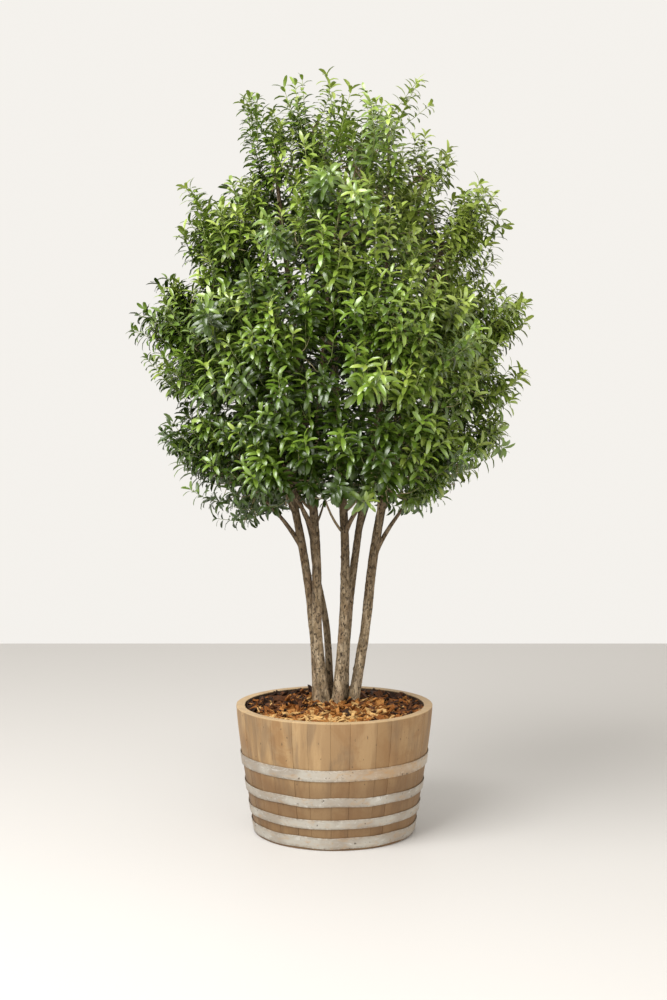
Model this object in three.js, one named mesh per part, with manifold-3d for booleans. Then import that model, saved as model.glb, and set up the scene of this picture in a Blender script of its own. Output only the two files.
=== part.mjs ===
// A multi-stem holly osmanthus in a planter made of half an oak barrel.
// Millimetres, +Z up, the origin on the floor under the middle of the planter. The shown side faces -Y.
// Six stems rise from the mulch and spread as a narrow fan. Boughs leave them, and every stem and bough
// ends inside a mass of foliage. A mass is one stem, the twigs that branch from it and large blades, each
// of which stands for a leafy shoot.
import * as THREE from "three";
import { mergeVertices } from "three/addons/utils/BufferGeometryUtils.js";
import Module from "manifold-3d";

const wasm = await Module();
wasm.setup();

const { lerp, clamp } = THREE.MathUtils;

// Driving dimensions

const SEAT_GAP = 0.3; // between pieces that touch

const BARREL = {
  height: 450,
  rim: 350, // outer radius at the top
  foot: 284, // outer radius on the floor
  bulge: 1.3, // 1 would make straight sides
  wall: 30,
  staves: 28,
  levels: 4, // flat stretches up the side
};
const SEAM = { depth: 1.8, halfAngle: 0.008 }; // the groove between two staves
const HEAD = { low: 32, high: 54 }; // the bottom boards, recessed above the floor
const HOOP_THICKNESS = 2.4;
const HOOPS = [
  { name: "hoop_foot", low: 7, width: 40 },
  { name: "hoop_low", low: 78, width: 33 },
  { name: "hoop_middle", low: 156, width: 32 },
  { name: "hoop_high", low: 248, width: 40 },
];
const MULCH = { edge: 424, shoulder: 441, shoulderRadius: 225, crest: 452, crestRadius: 120 };

// Heights of the sections that every stem is set out at
const FOOT = MULCH.crest + SEAT_GAP;
const KNEE = 705;
const WAIST = 1050;

// Stems: [x, y] at those heights, and the radius at the foot, waist and tip
const STEMS = [
  { name: "stem_left", foot: [-59, -12], knee: [-73, -15], waist: [-119, -24], radii: [17, 15, 7] },
  { name: "stem_front_left", foot: [-33, -39], knee: [-59, -44], waist: [-66, -50], radii: [18.5, 16, 7] },
  { name: "stem_back_left", foot: [-14, 34], knee: [-27, 42], waist: [-78, 58], radii: [14.5, 10.5, 6] },
  { name: "stem_middle", foot: [11, -37], knee: [31, -41], waist: [36, -48], radii: [20, 15.5, 7] },
  { name: "stem_middle_back", foot: [33, 12], knee: [44, 4], waist: [84, 8], radii: [17, 13.5, 7] },
  { name: "stem_right", foot: [66, -9], knee: [107, -12], waist: [149, -18], radii: [19.5, 16, 7.5] },
];
const ROOT_FLARE = { share: 0.28, height: 45 }; // extra width on the mulch, and how soon it fades
const BELOW_CUT = 60; // a stem is made this much longer below its foot, and then cut flat

// Masses: the centre and radii of the space that each may fill, the stem that it is on, and the height
// that its bough leaves that stem from. One without such a height sits on the stem's own tip.
const MASSES = [
  { name: "low_left", centre: [-350, -20, 1305], radii: [285, 280, 270], on: "stem_left", from: 1000 },
  { name: "low_right", centre: [350, -20, 1305], radii: [300, 280, 270], on: "stem_right", from: 975 },
  { name: "low_front_left", centre: [-175, -330, 1290], radii: [270, 270, 270], on: "stem_front_left", from: 1040 },
  { name: "low_front_right", centre: [175, -335, 1290], radii: [270, 270, 270], on: "stem_middle", from: 1055 },
  { name: "low_back_left", centre: [-185, 330, 1310], radii: [270, 270, 270], on: "stem_back_left", from: 1010 },
  { name: "low_back_right", centre: [190, 330, 1310], radii: [270, 270, 270], on: "stem_middle_back", from: 1030 },
  { name: "mid_left", centre: [-440, 0, 1715], radii: [290, 290, 285], on: "stem_left", from: 1105 },
  { name: "mid_front_left", centre: [-235, -370, 1690], radii: [280, 280, 285], on: "stem_front_left", from: 1215 },
  { name: "mid_front_right", centre: [235, -375, 1685], radii: [280, 280, 285], on: "stem_right", from: 1080 },
  { name: "mid_right", centre: [445, 0, 1710], radii: [280, 290, 285], on: "stem_right", from: 1200 },
  { name: "mid_back_right", centre: [240, 375, 1690], radii: [280, 280, 285], on: "stem_middle_back", from: 1260 },
  { name: "mid_back_left", centre: [-235, 375, 1690], radii: [280, 280, 285], on: "stem_back_left", from: 1200 },
  { name: "upper_left", centre: [-350, 0, 2070], radii: [260, 280, 265], on: "stem_left" },
  { name: "upper_front", centre: [0, -350, 2050], radii: [290, 260, 270], on: "stem_middle", from: 1420 },
  { name: "upper_right", centre: [375, -10, 2060], radii: [270, 280, 265], on: "stem_right" },
  { name: "upper_back", centre: [0, 350, 2060], radii: [290, 260, 270], on: "stem_back_left", from: 1560 },
  { name: "top_left", centre: [-205, -80, 2360], radii: [190, 220, 230], on: "stem_front_left" },
  { name: "top_back", centre: [20, 225, 2350], radii: [230, 210, 235], on: "stem_back_left" },
  { name: "top_right", centre: [310, 40, 2310], radii: [215, 230, 240], on: "stem_middle_back" },
  { name: "top_front", centre: [70, -230, 2330], radii: [220, 205, 240], on: "stem_middle", from: 1640 },
  { name: "peak_left", centre: [-75, 0, 2440], radii: [180, 190, 235], on: "stem_middle" },
  { name: "peak_right", centre: [190, 10, 2460], radii: [180, 190, 250], on: "stem_middle_back", from: 1500 },
];
const SPACE_GAP = 2; // a mass keeps this far inside the flat boundary that it shares with a neighbour
const LIMB_GAP = 2; // twigs and blades keep this far from stems and boughs
const ENTRY = 0.5; // a limb ends at this share of the way from a mass's centre to its edge

const BOUGH = {
  butt: 0.62, // its radius there as a share of the stem's
  thickest: 11,
  tip: 4.6,
  rise: 0.16, // how far it follows its stem before it bends out, as a share of its length
  lift: 0.05, // how far its middle is arched up, likewise
  bendAt: 0.3,
  collar: 0.25, // extra width where it leaves the stem
  collarShare: 0.11,
};
const MASS_STEM = { radius: 6.5, tip: 4, straight: 18, rise: 0.35 };
const TWIG = {
  count: 5,
  outermost: 2, // the one that points straight out from the middle of the crown
  radius: 2.9,
  tip: 1.8,
  firstShare: 0.35, // twigs leave the mass's stem between these shares of its length
  lastShare: 0.98,
  lowest: -0.9, // heights of the first and last twig's direction: -1 is down and 1 is up
  highest: 0.95,
  reaches: [0.52, 0.42, 0.32], // the shares of the way to the space's edge that a twig tries
  sag: 0.1,
};
const BLADE = {
  perTwig: 2, // besides the one at the twig's end
  longest: 250,
  shortest: 200,
  scales: [1, 0.9, 0.8, 0.7, 0.6, 0.5], // the sizes of one blade that are tried in turn
  slimness: 0.56, // its width as a share of its length
  thickness: 4,
  widest: 0.42, // the share of its length where it is widest
  droop: 0.16,
  rooted: 0.3, // how far its root passes the twig's middle line
  firstShare: 0.3, // blades leave a twig between these shares of its length
  lastShare: 0.96,
  spread: 0.9, // how far it turns away from its twig
  scatter: 1.2, // most extra turn about the twig
  roll: 1.3, // most turn about its own midrib
  shared: 0.003, // it is skipped where more of it than this would cross what its mass has already
};
const GOLDEN_ANGLE = Math.PI * (3 - Math.sqrt(5));
const UP = V(0, 0, 1);

function V(...xyz) {
  return new THREE.Vector3(...xyz);
}

// A repeatable number from 0 to 1 for a pair of whole numbers
function chance(a, b) {
  const wave = Math.sin(a * 12.9898 + b * 78.233 + 4.1) * 43758.5453;
  return wave - Math.floor(wave);
}

// Solids and geometries

function solidFrom(geometry) {
  const bare = geometry.clone();
  bare.deleteAttribute("normal");
  bare.deleteAttribute("uv");
  const merged = mergeVertices(bare, 1e-3);
  const vertProperties = new Float32Array(merged.attributes.position.array);
  const triVerts = new Uint32Array(merged.index.array);
  return new wasm.Manifold(new wasm.Mesh({ numProp: 3, vertProperties, triVerts }));
}

function geometryFrom(solid) {
  const mesh = solid.getMesh();
  const geometry = new THREE.BufferGeometry();
  geometry.setAttribute("position", new THREE.BufferAttribute(new Float32Array(mesh.vertProperties), 3));
  geometry.setIndex(new THREE.BufferAttribute(new Uint32Array(mesh.triVerts), 1));
  return geometry;
}

// The largest closed body of a solid: loose scraps are dropped, and sealed hollows are filled.
function mainBody(solid) {
  return solid.decompose().reduce((a, b) => (b.volume() > a.volume() ? b : a));
}

// A closed tube bent along a curve. radiusAt gives its radius at a share of its length.
function tube(curve, radiusAt, sides, rings) {
  const geometry = new THREE.CylinderGeometry(1, 1, 1, sides, rings);
  const { normals, binormals } = curve.computeFrenetFrames(rings, false);
  const position = geometry.attributes.position;
  for (let i = 0; i < position.count; i++) {
    const share = position.getY(i) + 0.5;
    const ring = Math.round(share * rings);
    const at = curve.getPointAt(share);
    const radius = radiusAt(share);
    at.addScaledVector(normals[ring], position.getZ(i) * radius);
    at.addScaledVector(binormals[ring], position.getX(i) * radius);
    position.setXYZ(i, at.x, at.y, at.z);
  }
  return geometry;
}

// The barrel

function barrelRadius(z) {
  const depth = clamp((BARREL.height - z) / BARREL.height, 0, 1);
  return lerp(BARREL.rim, BARREL.foot, depth ** BARREL.bulge);
}

// The side runs straight between levels.
function sideRadius(z) {
  const step = BARREL.height / BARREL.levels;
  const level = clamp(Math.floor(z / step), 0, BARREL.levels - 1);
  return lerp(barrelRadius(level * step), barrelRadius((level + 1) * step), z / step - level);
}

// Each stave is a flat facet with a groove at either edge. The ring is extruded straight and then drawn
// in to the barrel's radius, level by level.
function stavesGeometry() {
  const corner = (angle, radius) => new THREE.Vector2(radius * Math.cos(angle), radius * Math.sin(angle));
  const outer = [];
  const inner = [];
  for (let stave = 0; stave < BARREL.staves; stave++) {
    const seam = (stave / BARREL.staves) * 2 * Math.PI;
    outer.push(corner(seam - SEAM.halfAngle, BARREL.rim));
    outer.push(corner(seam, BARREL.rim - SEAM.depth));
    outer.push(corner(seam + SEAM.halfAngle, BARREL.rim));
    inner.push(corner(seam, BARREL.rim - BARREL.wall));
  }
  const outline = new THREE.Shape(outer);
  outline.holes.push(new THREE.Path(inner));
  const geometry = new THREE.ExtrudeGeometry(outline, {
    depth: BARREL.height,
    steps: BARREL.levels,
    bevelEnabled: false,
  });
  const position = geometry.attributes.position;
  for (let i = 0; i < position.count; i++) {
    const radius = Math.hypot(position.getX(i), position.getY(i));
    const drawnIn = 1 - (BARREL.rim - barrelRadius(position.getZ(i))) / radius;
    position.setXY(i, position.getX(i) * drawnIn, position.getY(i) * drawnIn);
  }
  return geometry;
}

// A turned solid with a corner at every seam. Its profile is a list of [radius, z].
function turned(profile) {
  const points = profile.map(([radius, z]) => new THREE.Vector2(radius, z));
  return new THREE.LatheGeometry(points, BARREL.staves, Math.PI / 2).rotateX(Math.PI / 2);
}

// A hoop's corners stand off the grooves, where the flat faces of two staves would meet.
function hoopGeometry({ low, width }) {
  const halfStave = Math.PI / BARREL.staves;
  const meeting = Math.cos(halfStave - SEAM.halfAngle) / Math.cos(halfStave);
  const seat = (z) => sideRadius(z) * meeting + SEAT_GAP;
  const high = low + width;
  return turned([
    [seat(low), low],
    [seat(low) + HOOP_THICKNESS, low],
    [seat(high) + HOOP_THICKNESS, high],
    [seat(high), high],
    [seat(low), low],
  ]);
}

const boreRadius = (z) => sideRadius(z) - BARREL.wall - SEAT_GAP;

function headGeometry() {
  return turned([
    [0, HEAD.low],
    [boreRadius(HEAD.low), HEAD.low],
    [boreRadius(HEAD.high), HEAD.high],
    [0, HEAD.high],
  ]);
}

// The filling follows the bore up to its edge and is heaped to a level crest round the stems.
function mulchGeometry() {
  const bottom = HEAD.high + SEAT_GAP;
  const levels = Array.from({ length: BARREL.levels }, (_, i) => (i * BARREL.height) / BARREL.levels);
  const inside = levels.filter((z) => z > bottom && z < MULCH.edge);
  const side = [bottom, ...inside, MULCH.edge].map((z) => [boreRadius(z), z]);
  return turned([
    [0, bottom],
    ...side,
    [MULCH.shoulderRadius, MULCH.shoulder],
    [MULCH.crestRadius, MULCH.crest],
    [0, MULCH.crest],
  ]);
}

// The foliage's spaces

function meanRadius({ radii: [a, b, c] }) {
  return Math.cbrt(a * b * c);
}

// The space of a mass is an ellipsoid cut off by a flat boundary towards each neighbour, which lies
// nearer to the smaller of the two.
function spaceOf(mass) {
  const centre = V(...mass.centre);
  const boundaries = MASSES.filter((other) => other !== mass).map((other) => {
    const towards = V(...other.centre).sub(centre);
    const apart = towards.length();
    const weight = meanRadius(mass) ** 2 - meanRadius(other) ** 2;
    return { towards: towards.normalize(), distance: (apart + weight / apart) / 2 - SPACE_GAP };
  });
  return { centre, radii: V(...mass.radii), boundaries };
}

// How far a space reaches from its centre in a direction
function reachOf({ radii, boundaries }, direction) {
  const facing = boundaries.filter(({ towards }) => towards.dot(direction) > 0);
  const limits = facing.map(({ towards, distance }) => distance / towards.dot(direction));
  return Math.min(1 / direction.clone().divide(radii).length(), ...limits);
}

function isInside({ centre, radii, boundaries }, point) {
  const from = point.clone().sub(centre);
  if (boundaries.some(({ towards, distance }) => from.dot(towards) > distance)) return false;
  return from.divide(radii).length() <= 1;
}

// Where a limb that comes from a point ends inside a space
function entryPoint(space, from) {
  const back = from.clone().sub(space.centre).normalize();
  return space.centre.clone().addScaledVector(back, reachOf(space, back) * ENTRY);
}

const spaces = Object.fromEntries(MASSES.map((mass) => [mass.name, spaceOf(mass)]));

// Stems and boughs: a limb is a curve with a radius at every share of its length

function stemLimb({ name, foot, knee, waist, radii: [footRadius, waistRadius, tipRadius] }) {
  const ends = MASSES.find((mass) => mass.on === name && !mass.from).name;
  const start = V(...foot, FOOT);
  const bend = V(...knee, KNEE);
  const below = start.clone().lerp(bend, -BELOW_CUT / (KNEE - FOOT));
  const shoulder = V(...waist, WAIST);
  const tip = entryPoint(spaces[ends], shoulder);
  const curve = new THREE.CatmullRomCurve3([below, start, bend, shoulder, tip]);
  const length = curve.getLength();
  const footShare = BELOW_CUT / length;
  const waistShare = footShare + (WAIST - FOOT) / length;
  const radiusAt = (share) => {
    const risen = Math.max(share - footShare, 0);
    const flare = 1 + ROOT_FLARE.share * Math.exp((-risen * length) / ROOT_FLARE.height);
    if (share > waistShare) return lerp(waistRadius, tipRadius, (share - waistShare) / (1 - waistShare));
    return flare * lerp(footRadius, waistRadius, risen / (waistShare - footShare));
  };
  return { name, ends, curve, radiusAt, sides: 9, rings: 12 };
}

// The share of a rising curve's length at which it passes a height
function shareAtHeight(curve, z) {
  let low = 0;
  let high = 1;
  while (high - low > 1e-6) {
    const middle = (low + high) / 2;
    if (curve.getPointAt(middle).z < z) low = middle;
    else high = middle;
  }
  return low;
}

// A bough leaves its stem steeply, bends out towards its mass and ends inside that.
function boughLimb(mass, stem) {
  const share = shareAtHeight(stem.curve, mass.from);
  const butt = stem.curve.getPointAt(share);
  const tip = entryPoint(spaces[mass.name], butt);
  const reach = tip.distanceTo(butt);
  const bend = butt.clone().addScaledVector(stem.curve.getTangentAt(share), reach * BOUGH.rise);
  bend.lerp(tip, BOUGH.bendAt).addScaledVector(UP, reach * BOUGH.lift);
  const curve = new THREE.QuadraticBezierCurve3(butt, bend, tip);
  const buttRadius = Math.min(BOUGH.thickest, stem.radiusAt(share) * BOUGH.butt);
  const radiusAt = (t) => {
    const collar = 1 + BOUGH.collar * Math.exp(-t / BOUGH.collarShare);
    return collar * lerp(buttRadius, BOUGH.tip, t);
  };
  return { name: `bough_${mass.name}`, ends: mass.name, curve, radiusAt, sides: 6, rings: 5 };
}

// A limb's solid, made thicker all round where its neighbours have to keep clear of it
function limbSolid({ curve, radiusAt, sides, rings }, extra = 0) {
  return solidFrom(tube(curve, (share) => radiusAt(share) + extra, sides, rings));
}

// One mass of foliage

// A blade with a raised midrib: eight faces, its root sunk into the twig that carries it
function bladeSolid(root, direction, roll, length) {
  const side = direction.clone().cross(UP).normalize().applyAxisAngle(direction, roll);
  const face = side.clone().cross(direction);
  const sunk = root.clone().addScaledVector(direction, -BLADE.rooted);
  const middle = root.clone().addScaledVector(direction, BLADE.widest * length);
  const tip = root.clone().addScaledVector(direction, length).addScaledVector(face, -BLADE.droop * length);
  const geometry = new THREE.OctahedronGeometry(1, 0);
  const position = geometry.attributes.position;
  for (let i = 0; i < position.count; i++) {
    const [across, along, through] = [position.getX(i), position.getY(i), position.getZ(i)].map(Math.round);
    const at = [sunk, middle, tip][along + 1].clone();
    at.addScaledVector(side, (across * BLADE.slimness * length) / 2);
    at.addScaledVector(face, (through * BLADE.thickness) / 2);
    position.setXYZ(i, at.x, at.y, at.z);
  }
  return solidFrom(geometry);
}

function cornersOf(solid) {
  const { vertProperties } = solid.getMesh();
  return Array.from({ length: vertProperties.length / 3 }, (_, i) => V().fromArray(vertProperties, i * 3));
}

// Twigs run from the mass's stem towards points spread evenly over its space, and carry blades along them
// and at their ends. What would leave the space or touch a limb is made smaller, and skipped if it never
// fits.
function massGeometry({ name }, index, carrier, everyLimb) {
  const space = spaces[name];
  const fits = (solid) =>
    cornersOf(solid).every((corner) => isInside(space, corner)) && solid.intersect(everyLimb).isEmpty();

  const heading = carrier.curve.getTangentAt(1);
  const start = carrier.curve.getPointAt(1).addScaledVector(heading, SEAT_GAP);
  const elbow = start.clone().addScaledVector(heading, MASS_STEM.straight);
  const crest = space.centre.clone().addScaledVector(UP, reachOf(space, UP) * MASS_STEM.rise);
  const spine = new THREE.CatmullRomCurve3([start, elbow, crest]);
  let whole = solidFrom(tube(spine, (t) => lerp(MASS_STEM.radius, MASS_STEM.tip, t), 3, 3));
  if (!fits(whole)) throw new Error(`the stem of ${name} leaves its space or meets a limb`);

  const addBlade = (root, direction, seed) => {
    const roll = BLADE.roll * lerp(-1, 1, chance(seed, 60));
    const length = lerp(BLADE.shortest, BLADE.longest, chance(seed, 40));
    const sizes = BLADE.scales.map((scale) => bladeSolid(root, direction, roll, length * scale));
    const isFree = (blade) => blade.intersect(whole).volume() < blade.volume() * BLADE.shared;
    const fitting = sizes.find((blade) => fits(blade) && isFree(blade));
    if (fitting) whole = whole.add(fitting);
  };
  addBlade(spine.getPointAt(BLADE.lastShare), spine.getTangentAt(1), index);

  const outwardTurn = Math.atan2(space.centre.y, space.centre.x);
  for (let i = 0; i < TWIG.count; i++) {
    const rank = (i + 0.5) / TWIG.count;
    const turn = outwardTurn + (i - TWIG.outermost) * GOLDEN_ANGLE;
    const height = lerp(TWIG.lowest, TWIG.highest, rank);
    const level = Math.sqrt(1 - height * height);
    const outward = V(level * Math.cos(turn), level * Math.sin(turn), height);
    const root = spine.getPointAt(lerp(TWIG.firstShare, TWIG.lastShare, rank));
    const twigs = TWIG.reaches.map((reach) => {
      const goal = space.centre.clone().addScaledVector(outward, reachOf(space, outward) * reach);
      const bend = root.clone().lerp(goal, 0.5).addScaledVector(UP, -root.distanceTo(goal) * TWIG.sag);
      const curve = new THREE.QuadraticBezierCurve3(root, bend, goal);
      return { curve, solid: solidFrom(tube(curve, (t) => lerp(TWIG.radius, TWIG.tip, t), 3, 2)) };
    });
    const twig = twigs.find(({ solid }) => fits(solid));
    if (!twig) continue;
    whole = whole.add(twig.solid);

    for (let j = 0; j <= BLADE.perTwig; j++) {
      const isAtEnd = j === BLADE.perTwig;
      const share = lerp(BLADE.firstShare, BLADE.lastShare, j / BLADE.perTwig);
      const seed = (index * TWIG.count + i) * (BLADE.perTwig + 1) + j + MASSES.length;
      const along = twig.curve.getTangent(share);
      const away = UP.clone().cross(along).normalize();
      away.applyAxisAngle(along, j * GOLDEN_ANGLE + chance(seed, 20) * BLADE.scatter);
      const direction = along.clone().addScaledVector(away, isAtEnd ? 0 : BLADE.spread).normalize();
      addBlade(twig.curve.getPoint(share), direction, seed);
    }
  }
  return geometryFrom(mainBody(whole));
}

// Materials

const paint = (color, roughness, metalness = 0) =>
  new THREE.MeshStandardMaterial({ color, roughness, metalness });
const OAK = paint("#b08f66", 0.75);
const STEEL = paint("#c9c6ba", 0.5, 0.6);
const CHIPS = paint("#6b3c1c", 0.95);
const BARK = paint("#8a7661", 0.9);
const LEAVES = paint("#3f6b25", 0.55);

// The assembly

const plant = new THREE.Group();

function place(name, geometry, material) {
  const mesh = new THREE.Mesh(geometry, material);
  mesh.name = name;
  plant.add(mesh);
}

place("barrel_staves", stavesGeometry(), OAK);
place("barrel_head", headGeometry(), OAK);
for (const hoop of HOOPS) place(hoop.name, hoopGeometry(hoop), STEEL);
place("mulch_and_soil", mulchGeometry(), CHIPS);

const stems = STEMS.map(stemLimb);
const boughs = MASSES.filter((mass) => mass.from).map((mass) =>
  boughLimb(mass, stems.find(({ name }) => name === mass.on)),
);
const limbs = [...stems, ...boughs];

// Every stem is cut flat on the mulch, and each limb is cut back where it would meet one made before it.
const ground = new THREE.BoxGeometry(BARREL.rim, BARREL.rim, 2 * BELOW_CUT);
let taken = solidFrom(ground.translate(0, 0, FOOT - BELOW_CUT));
for (const limb of limbs) {
  place(limb.name, geometryFrom(mainBody(limbSolid(limb).subtract(taken))), BARK);
  taken = taken.add(limbSolid(limb, SEAT_GAP));
}

const everyLimb = limbs.map((limb) => limbSolid(limb, LIMB_GAP)).reduce((a, b) => a.add(b));
MASSES.forEach((mass, index) => {
  const carrier = limbs.find(({ ends }) => ends === mass.name);
  place(`foliage_${mass.name}`, massGeometry(mass, index, carrier, everyLimb), LEAVES);
});

export default plant;
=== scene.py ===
"""A multi-stem holly osmanthus in a planter made of half an oak barrel.

Metres, +Z up, the shown side faces -Y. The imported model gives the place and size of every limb, mass and
barrel piece. This file makes their surfaces: staves, hoops, bark chips, bark with its relief, and a crown
that goes on from the limbs to twigs, leafy shoots and single leaves.
"""

import math
from typing import NamedTuple

import bpy
import numpy as np
from bpy.props import FloatProperty, FloatVectorProperty, IntProperty, PointerProperty
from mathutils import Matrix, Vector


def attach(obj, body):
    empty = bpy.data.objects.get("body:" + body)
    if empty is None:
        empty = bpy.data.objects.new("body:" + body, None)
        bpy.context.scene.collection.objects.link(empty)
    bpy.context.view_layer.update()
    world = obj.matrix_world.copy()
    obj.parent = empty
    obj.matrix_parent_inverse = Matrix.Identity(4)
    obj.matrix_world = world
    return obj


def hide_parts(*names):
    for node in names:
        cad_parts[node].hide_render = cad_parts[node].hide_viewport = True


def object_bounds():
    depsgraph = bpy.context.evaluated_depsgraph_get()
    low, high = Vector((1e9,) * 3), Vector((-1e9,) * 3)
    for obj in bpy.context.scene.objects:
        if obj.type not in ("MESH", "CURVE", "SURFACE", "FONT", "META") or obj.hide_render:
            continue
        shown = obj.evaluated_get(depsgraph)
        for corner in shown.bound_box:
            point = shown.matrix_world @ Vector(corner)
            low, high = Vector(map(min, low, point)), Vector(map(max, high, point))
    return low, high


bl_info = {
    "name": "Holly osmanthus in a half barrel",
    "version": (1, 0, 0),
    "blender": (4, 5, 0),
    "location": "3D View > Sidebar > Osmanthus",
    "description": "Builds a potted multi-stem holly osmanthus around its packed model",
    "category": "Add Mesh",
}

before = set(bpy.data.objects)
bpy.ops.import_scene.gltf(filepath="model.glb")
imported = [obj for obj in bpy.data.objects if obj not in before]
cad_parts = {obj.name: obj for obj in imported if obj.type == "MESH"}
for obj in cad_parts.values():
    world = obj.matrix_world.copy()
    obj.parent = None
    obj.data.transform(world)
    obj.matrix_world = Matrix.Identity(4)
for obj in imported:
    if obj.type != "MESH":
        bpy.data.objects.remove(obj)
CAD_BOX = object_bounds()
BOX_LOW, BOX_HIGH = np.array(CAD_BOX)

BODY = "root"
GOLDEN_ANGLE = math.pi * (3 - math.sqrt(5))
FULL_TURN = 2 * math.pi
UP = np.array([0.0, 0.0, 1.0])
TINY = 1e-6

# The barrel, from the floor up, and the lower edge and width of each hoop
BARREL_HEIGHT = 0.450
RIM_RADIUS = 0.350
FOOT_RADIUS = 0.284
BARREL_BULGE = 1.3
WALL = 0.030
HEAD_LOW, HEAD_HIGH = 0.032, 0.054
HOOPS = {
    "hoop_foot": (0.007, 0.040),
    "hoop_low": (0.078, 0.033),
    "hoop_middle": (0.156, 0.032),
    "hoop_high": (0.248, 0.040),
}
HOOP_THICKNESS = 0.0024
# Radius and height of the filling's surface, from the middle out
MULCH_RADII = (0.0, 0.120, 0.225, 0.3185)
MULCH_HEIGHTS = (0.452, 0.452, 0.441, 0.424)

# Heights of the sections that every stem is set out at
FOOT = 0.4523
KNEE = 0.705
WAIST = 1.050
# How far below the foot a stem's path starts, and how far below it its bark starts
BELOW_CUT = 0.060
SUNK_FOOT = 0.022


class StemPlan(NamedTuple):
    """A stem's [x, y] at the foot, knee and waist, and its radius at the foot, waist and tip."""

    foot: tuple
    knee: tuple
    waist: tuple
    radii: tuple


class MassPlan(NamedTuple):
    """The centre and radii of a mass's space, its stem, and the height that its bough leaves that at."""

    centre: tuple
    radii: tuple
    on: str
    leaves: float = 0.0


STEMS = {
    "stem_left": StemPlan((-0.059, -0.012), (-0.073, -0.015), (-0.119, -0.024), (0.017, 0.015, 0.007)),
    "stem_front_left": StemPlan(
        (-0.033, -0.039), (-0.059, -0.044), (-0.066, -0.050), (0.0185, 0.016, 0.007)
    ),
    "stem_back_left": StemPlan((-0.014, 0.034), (-0.027, 0.042), (-0.078, 0.058), (0.0145, 0.0105, 0.006)),
    "stem_middle": StemPlan((0.011, -0.037), (0.031, -0.041), (0.036, -0.048), (0.020, 0.0155, 0.007)),
    "stem_middle_back": StemPlan((0.033, 0.012), (0.044, 0.004), (0.084, 0.008), (0.017, 0.0135, 0.007)),
    "stem_right": StemPlan((0.066, -0.009), (0.107, -0.012), (0.149, -0.018), (0.0195, 0.016, 0.0075)),
}
MASSES = {
    "low_left": MassPlan((-0.350, -0.020, 1.305), (0.285, 0.280, 0.270), "stem_left", 1.000),
    "low_right": MassPlan((0.350, -0.020, 1.305), (0.300, 0.280, 0.270), "stem_right", 0.975),
    "low_front_left": MassPlan((-0.175, -0.330, 1.290), (0.270, 0.270, 0.270), "stem_front_left", 1.040),
    "low_front_right": MassPlan((0.175, -0.335, 1.290), (0.270, 0.270, 0.270), "stem_middle", 1.055),
    "low_back_left": MassPlan((-0.185, 0.330, 1.310), (0.270, 0.270, 0.270), "stem_back_left", 1.010),
    "low_back_right": MassPlan((0.190, 0.330, 1.310), (0.270, 0.270, 0.270), "stem_middle_back", 1.030),
    "mid_left": MassPlan((-0.440, 0.000, 1.715), (0.290, 0.290, 0.285), "stem_left", 1.105),
    "mid_front_left": MassPlan((-0.235, -0.370, 1.690), (0.280, 0.280, 0.285), "stem_front_left", 1.215),
    "mid_front_right": MassPlan((0.235, -0.375, 1.685), (0.280, 0.280, 0.285), "stem_right", 1.080),
    "mid_right": MassPlan((0.445, 0.000, 1.710), (0.280, 0.290, 0.285), "stem_right", 1.200),
    "mid_back_right": MassPlan((0.240, 0.375, 1.690), (0.280, 0.280, 0.285), "stem_middle_back", 1.260),
    "mid_back_left": MassPlan((-0.235, 0.375, 1.690), (0.280, 0.280, 0.285), "stem_back_left", 1.200),
    "upper_left": MassPlan((-0.350, 0.000, 2.070), (0.260, 0.280, 0.265), "stem_left"),
    "upper_front": MassPlan((0.000, -0.350, 2.050), (0.290, 0.260, 0.270), "stem_middle", 1.420),
    "upper_right": MassPlan((0.375, -0.010, 2.060), (0.270, 0.280, 0.265), "stem_right"),
    "upper_back": MassPlan((0.000, 0.350, 2.060), (0.290, 0.260, 0.270), "stem_back_left", 1.560),
    "top_left": MassPlan((-0.205, -0.080, 2.360), (0.190, 0.220, 0.230), "stem_front_left"),
    "top_back": MassPlan((0.020, 0.225, 2.350), (0.230, 0.210, 0.235), "stem_back_left"),
    "top_right": MassPlan((0.310, 0.040, 2.310), (0.215, 0.230, 0.240), "stem_middle_back"),
    "top_front": MassPlan((0.070, -0.230, 2.330), (0.220, 0.205, 0.240), "stem_middle", 1.640),
    "peak_left": MassPlan((-0.075, 0.000, 2.440), (0.180, 0.190, 0.235), "stem_middle"),
    "peak_right": MassPlan((0.190, 0.010, 2.460), (0.180, 0.190, 0.250), "stem_middle_back", 1.500),
}
# Gaps between two masses' spaces, and between two parts where one sits on the other
SPACE_GAP = 0.002
SEAT_GAP = 0.0003
# How far out in its mass's space a limb ends
ENTRY_SHARE = 0.5
FOLIAGE_NODES = sorted(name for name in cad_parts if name.startswith("foliage_"))


def srgb(code):
    """A hex colour as linear red, green and blue: v / 12.92 near black, else ((v + 0.055) / 1.055) ** 2.4."""
    parts = [int(code[i : i + 2], 16) / 255 for i in (1, 3, 5)]
    return tuple(v / 12.92 if v <= 0.04045 else ((v + 0.055) / 1.055) ** 2.4 for v in parts)


def colour(name, description, code):
    """A colour setting with its default given as a hex colour."""
    return FloatVectorProperty(
        name=name, description=description, subtype="COLOR", size=3, min=0, max=1, default=srgb(code)
    )


def length(name, description, default):
    """A length setting in metres."""
    return FloatProperty(name=name, description=description, default=default, min=0, unit="LENGTH")


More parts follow.
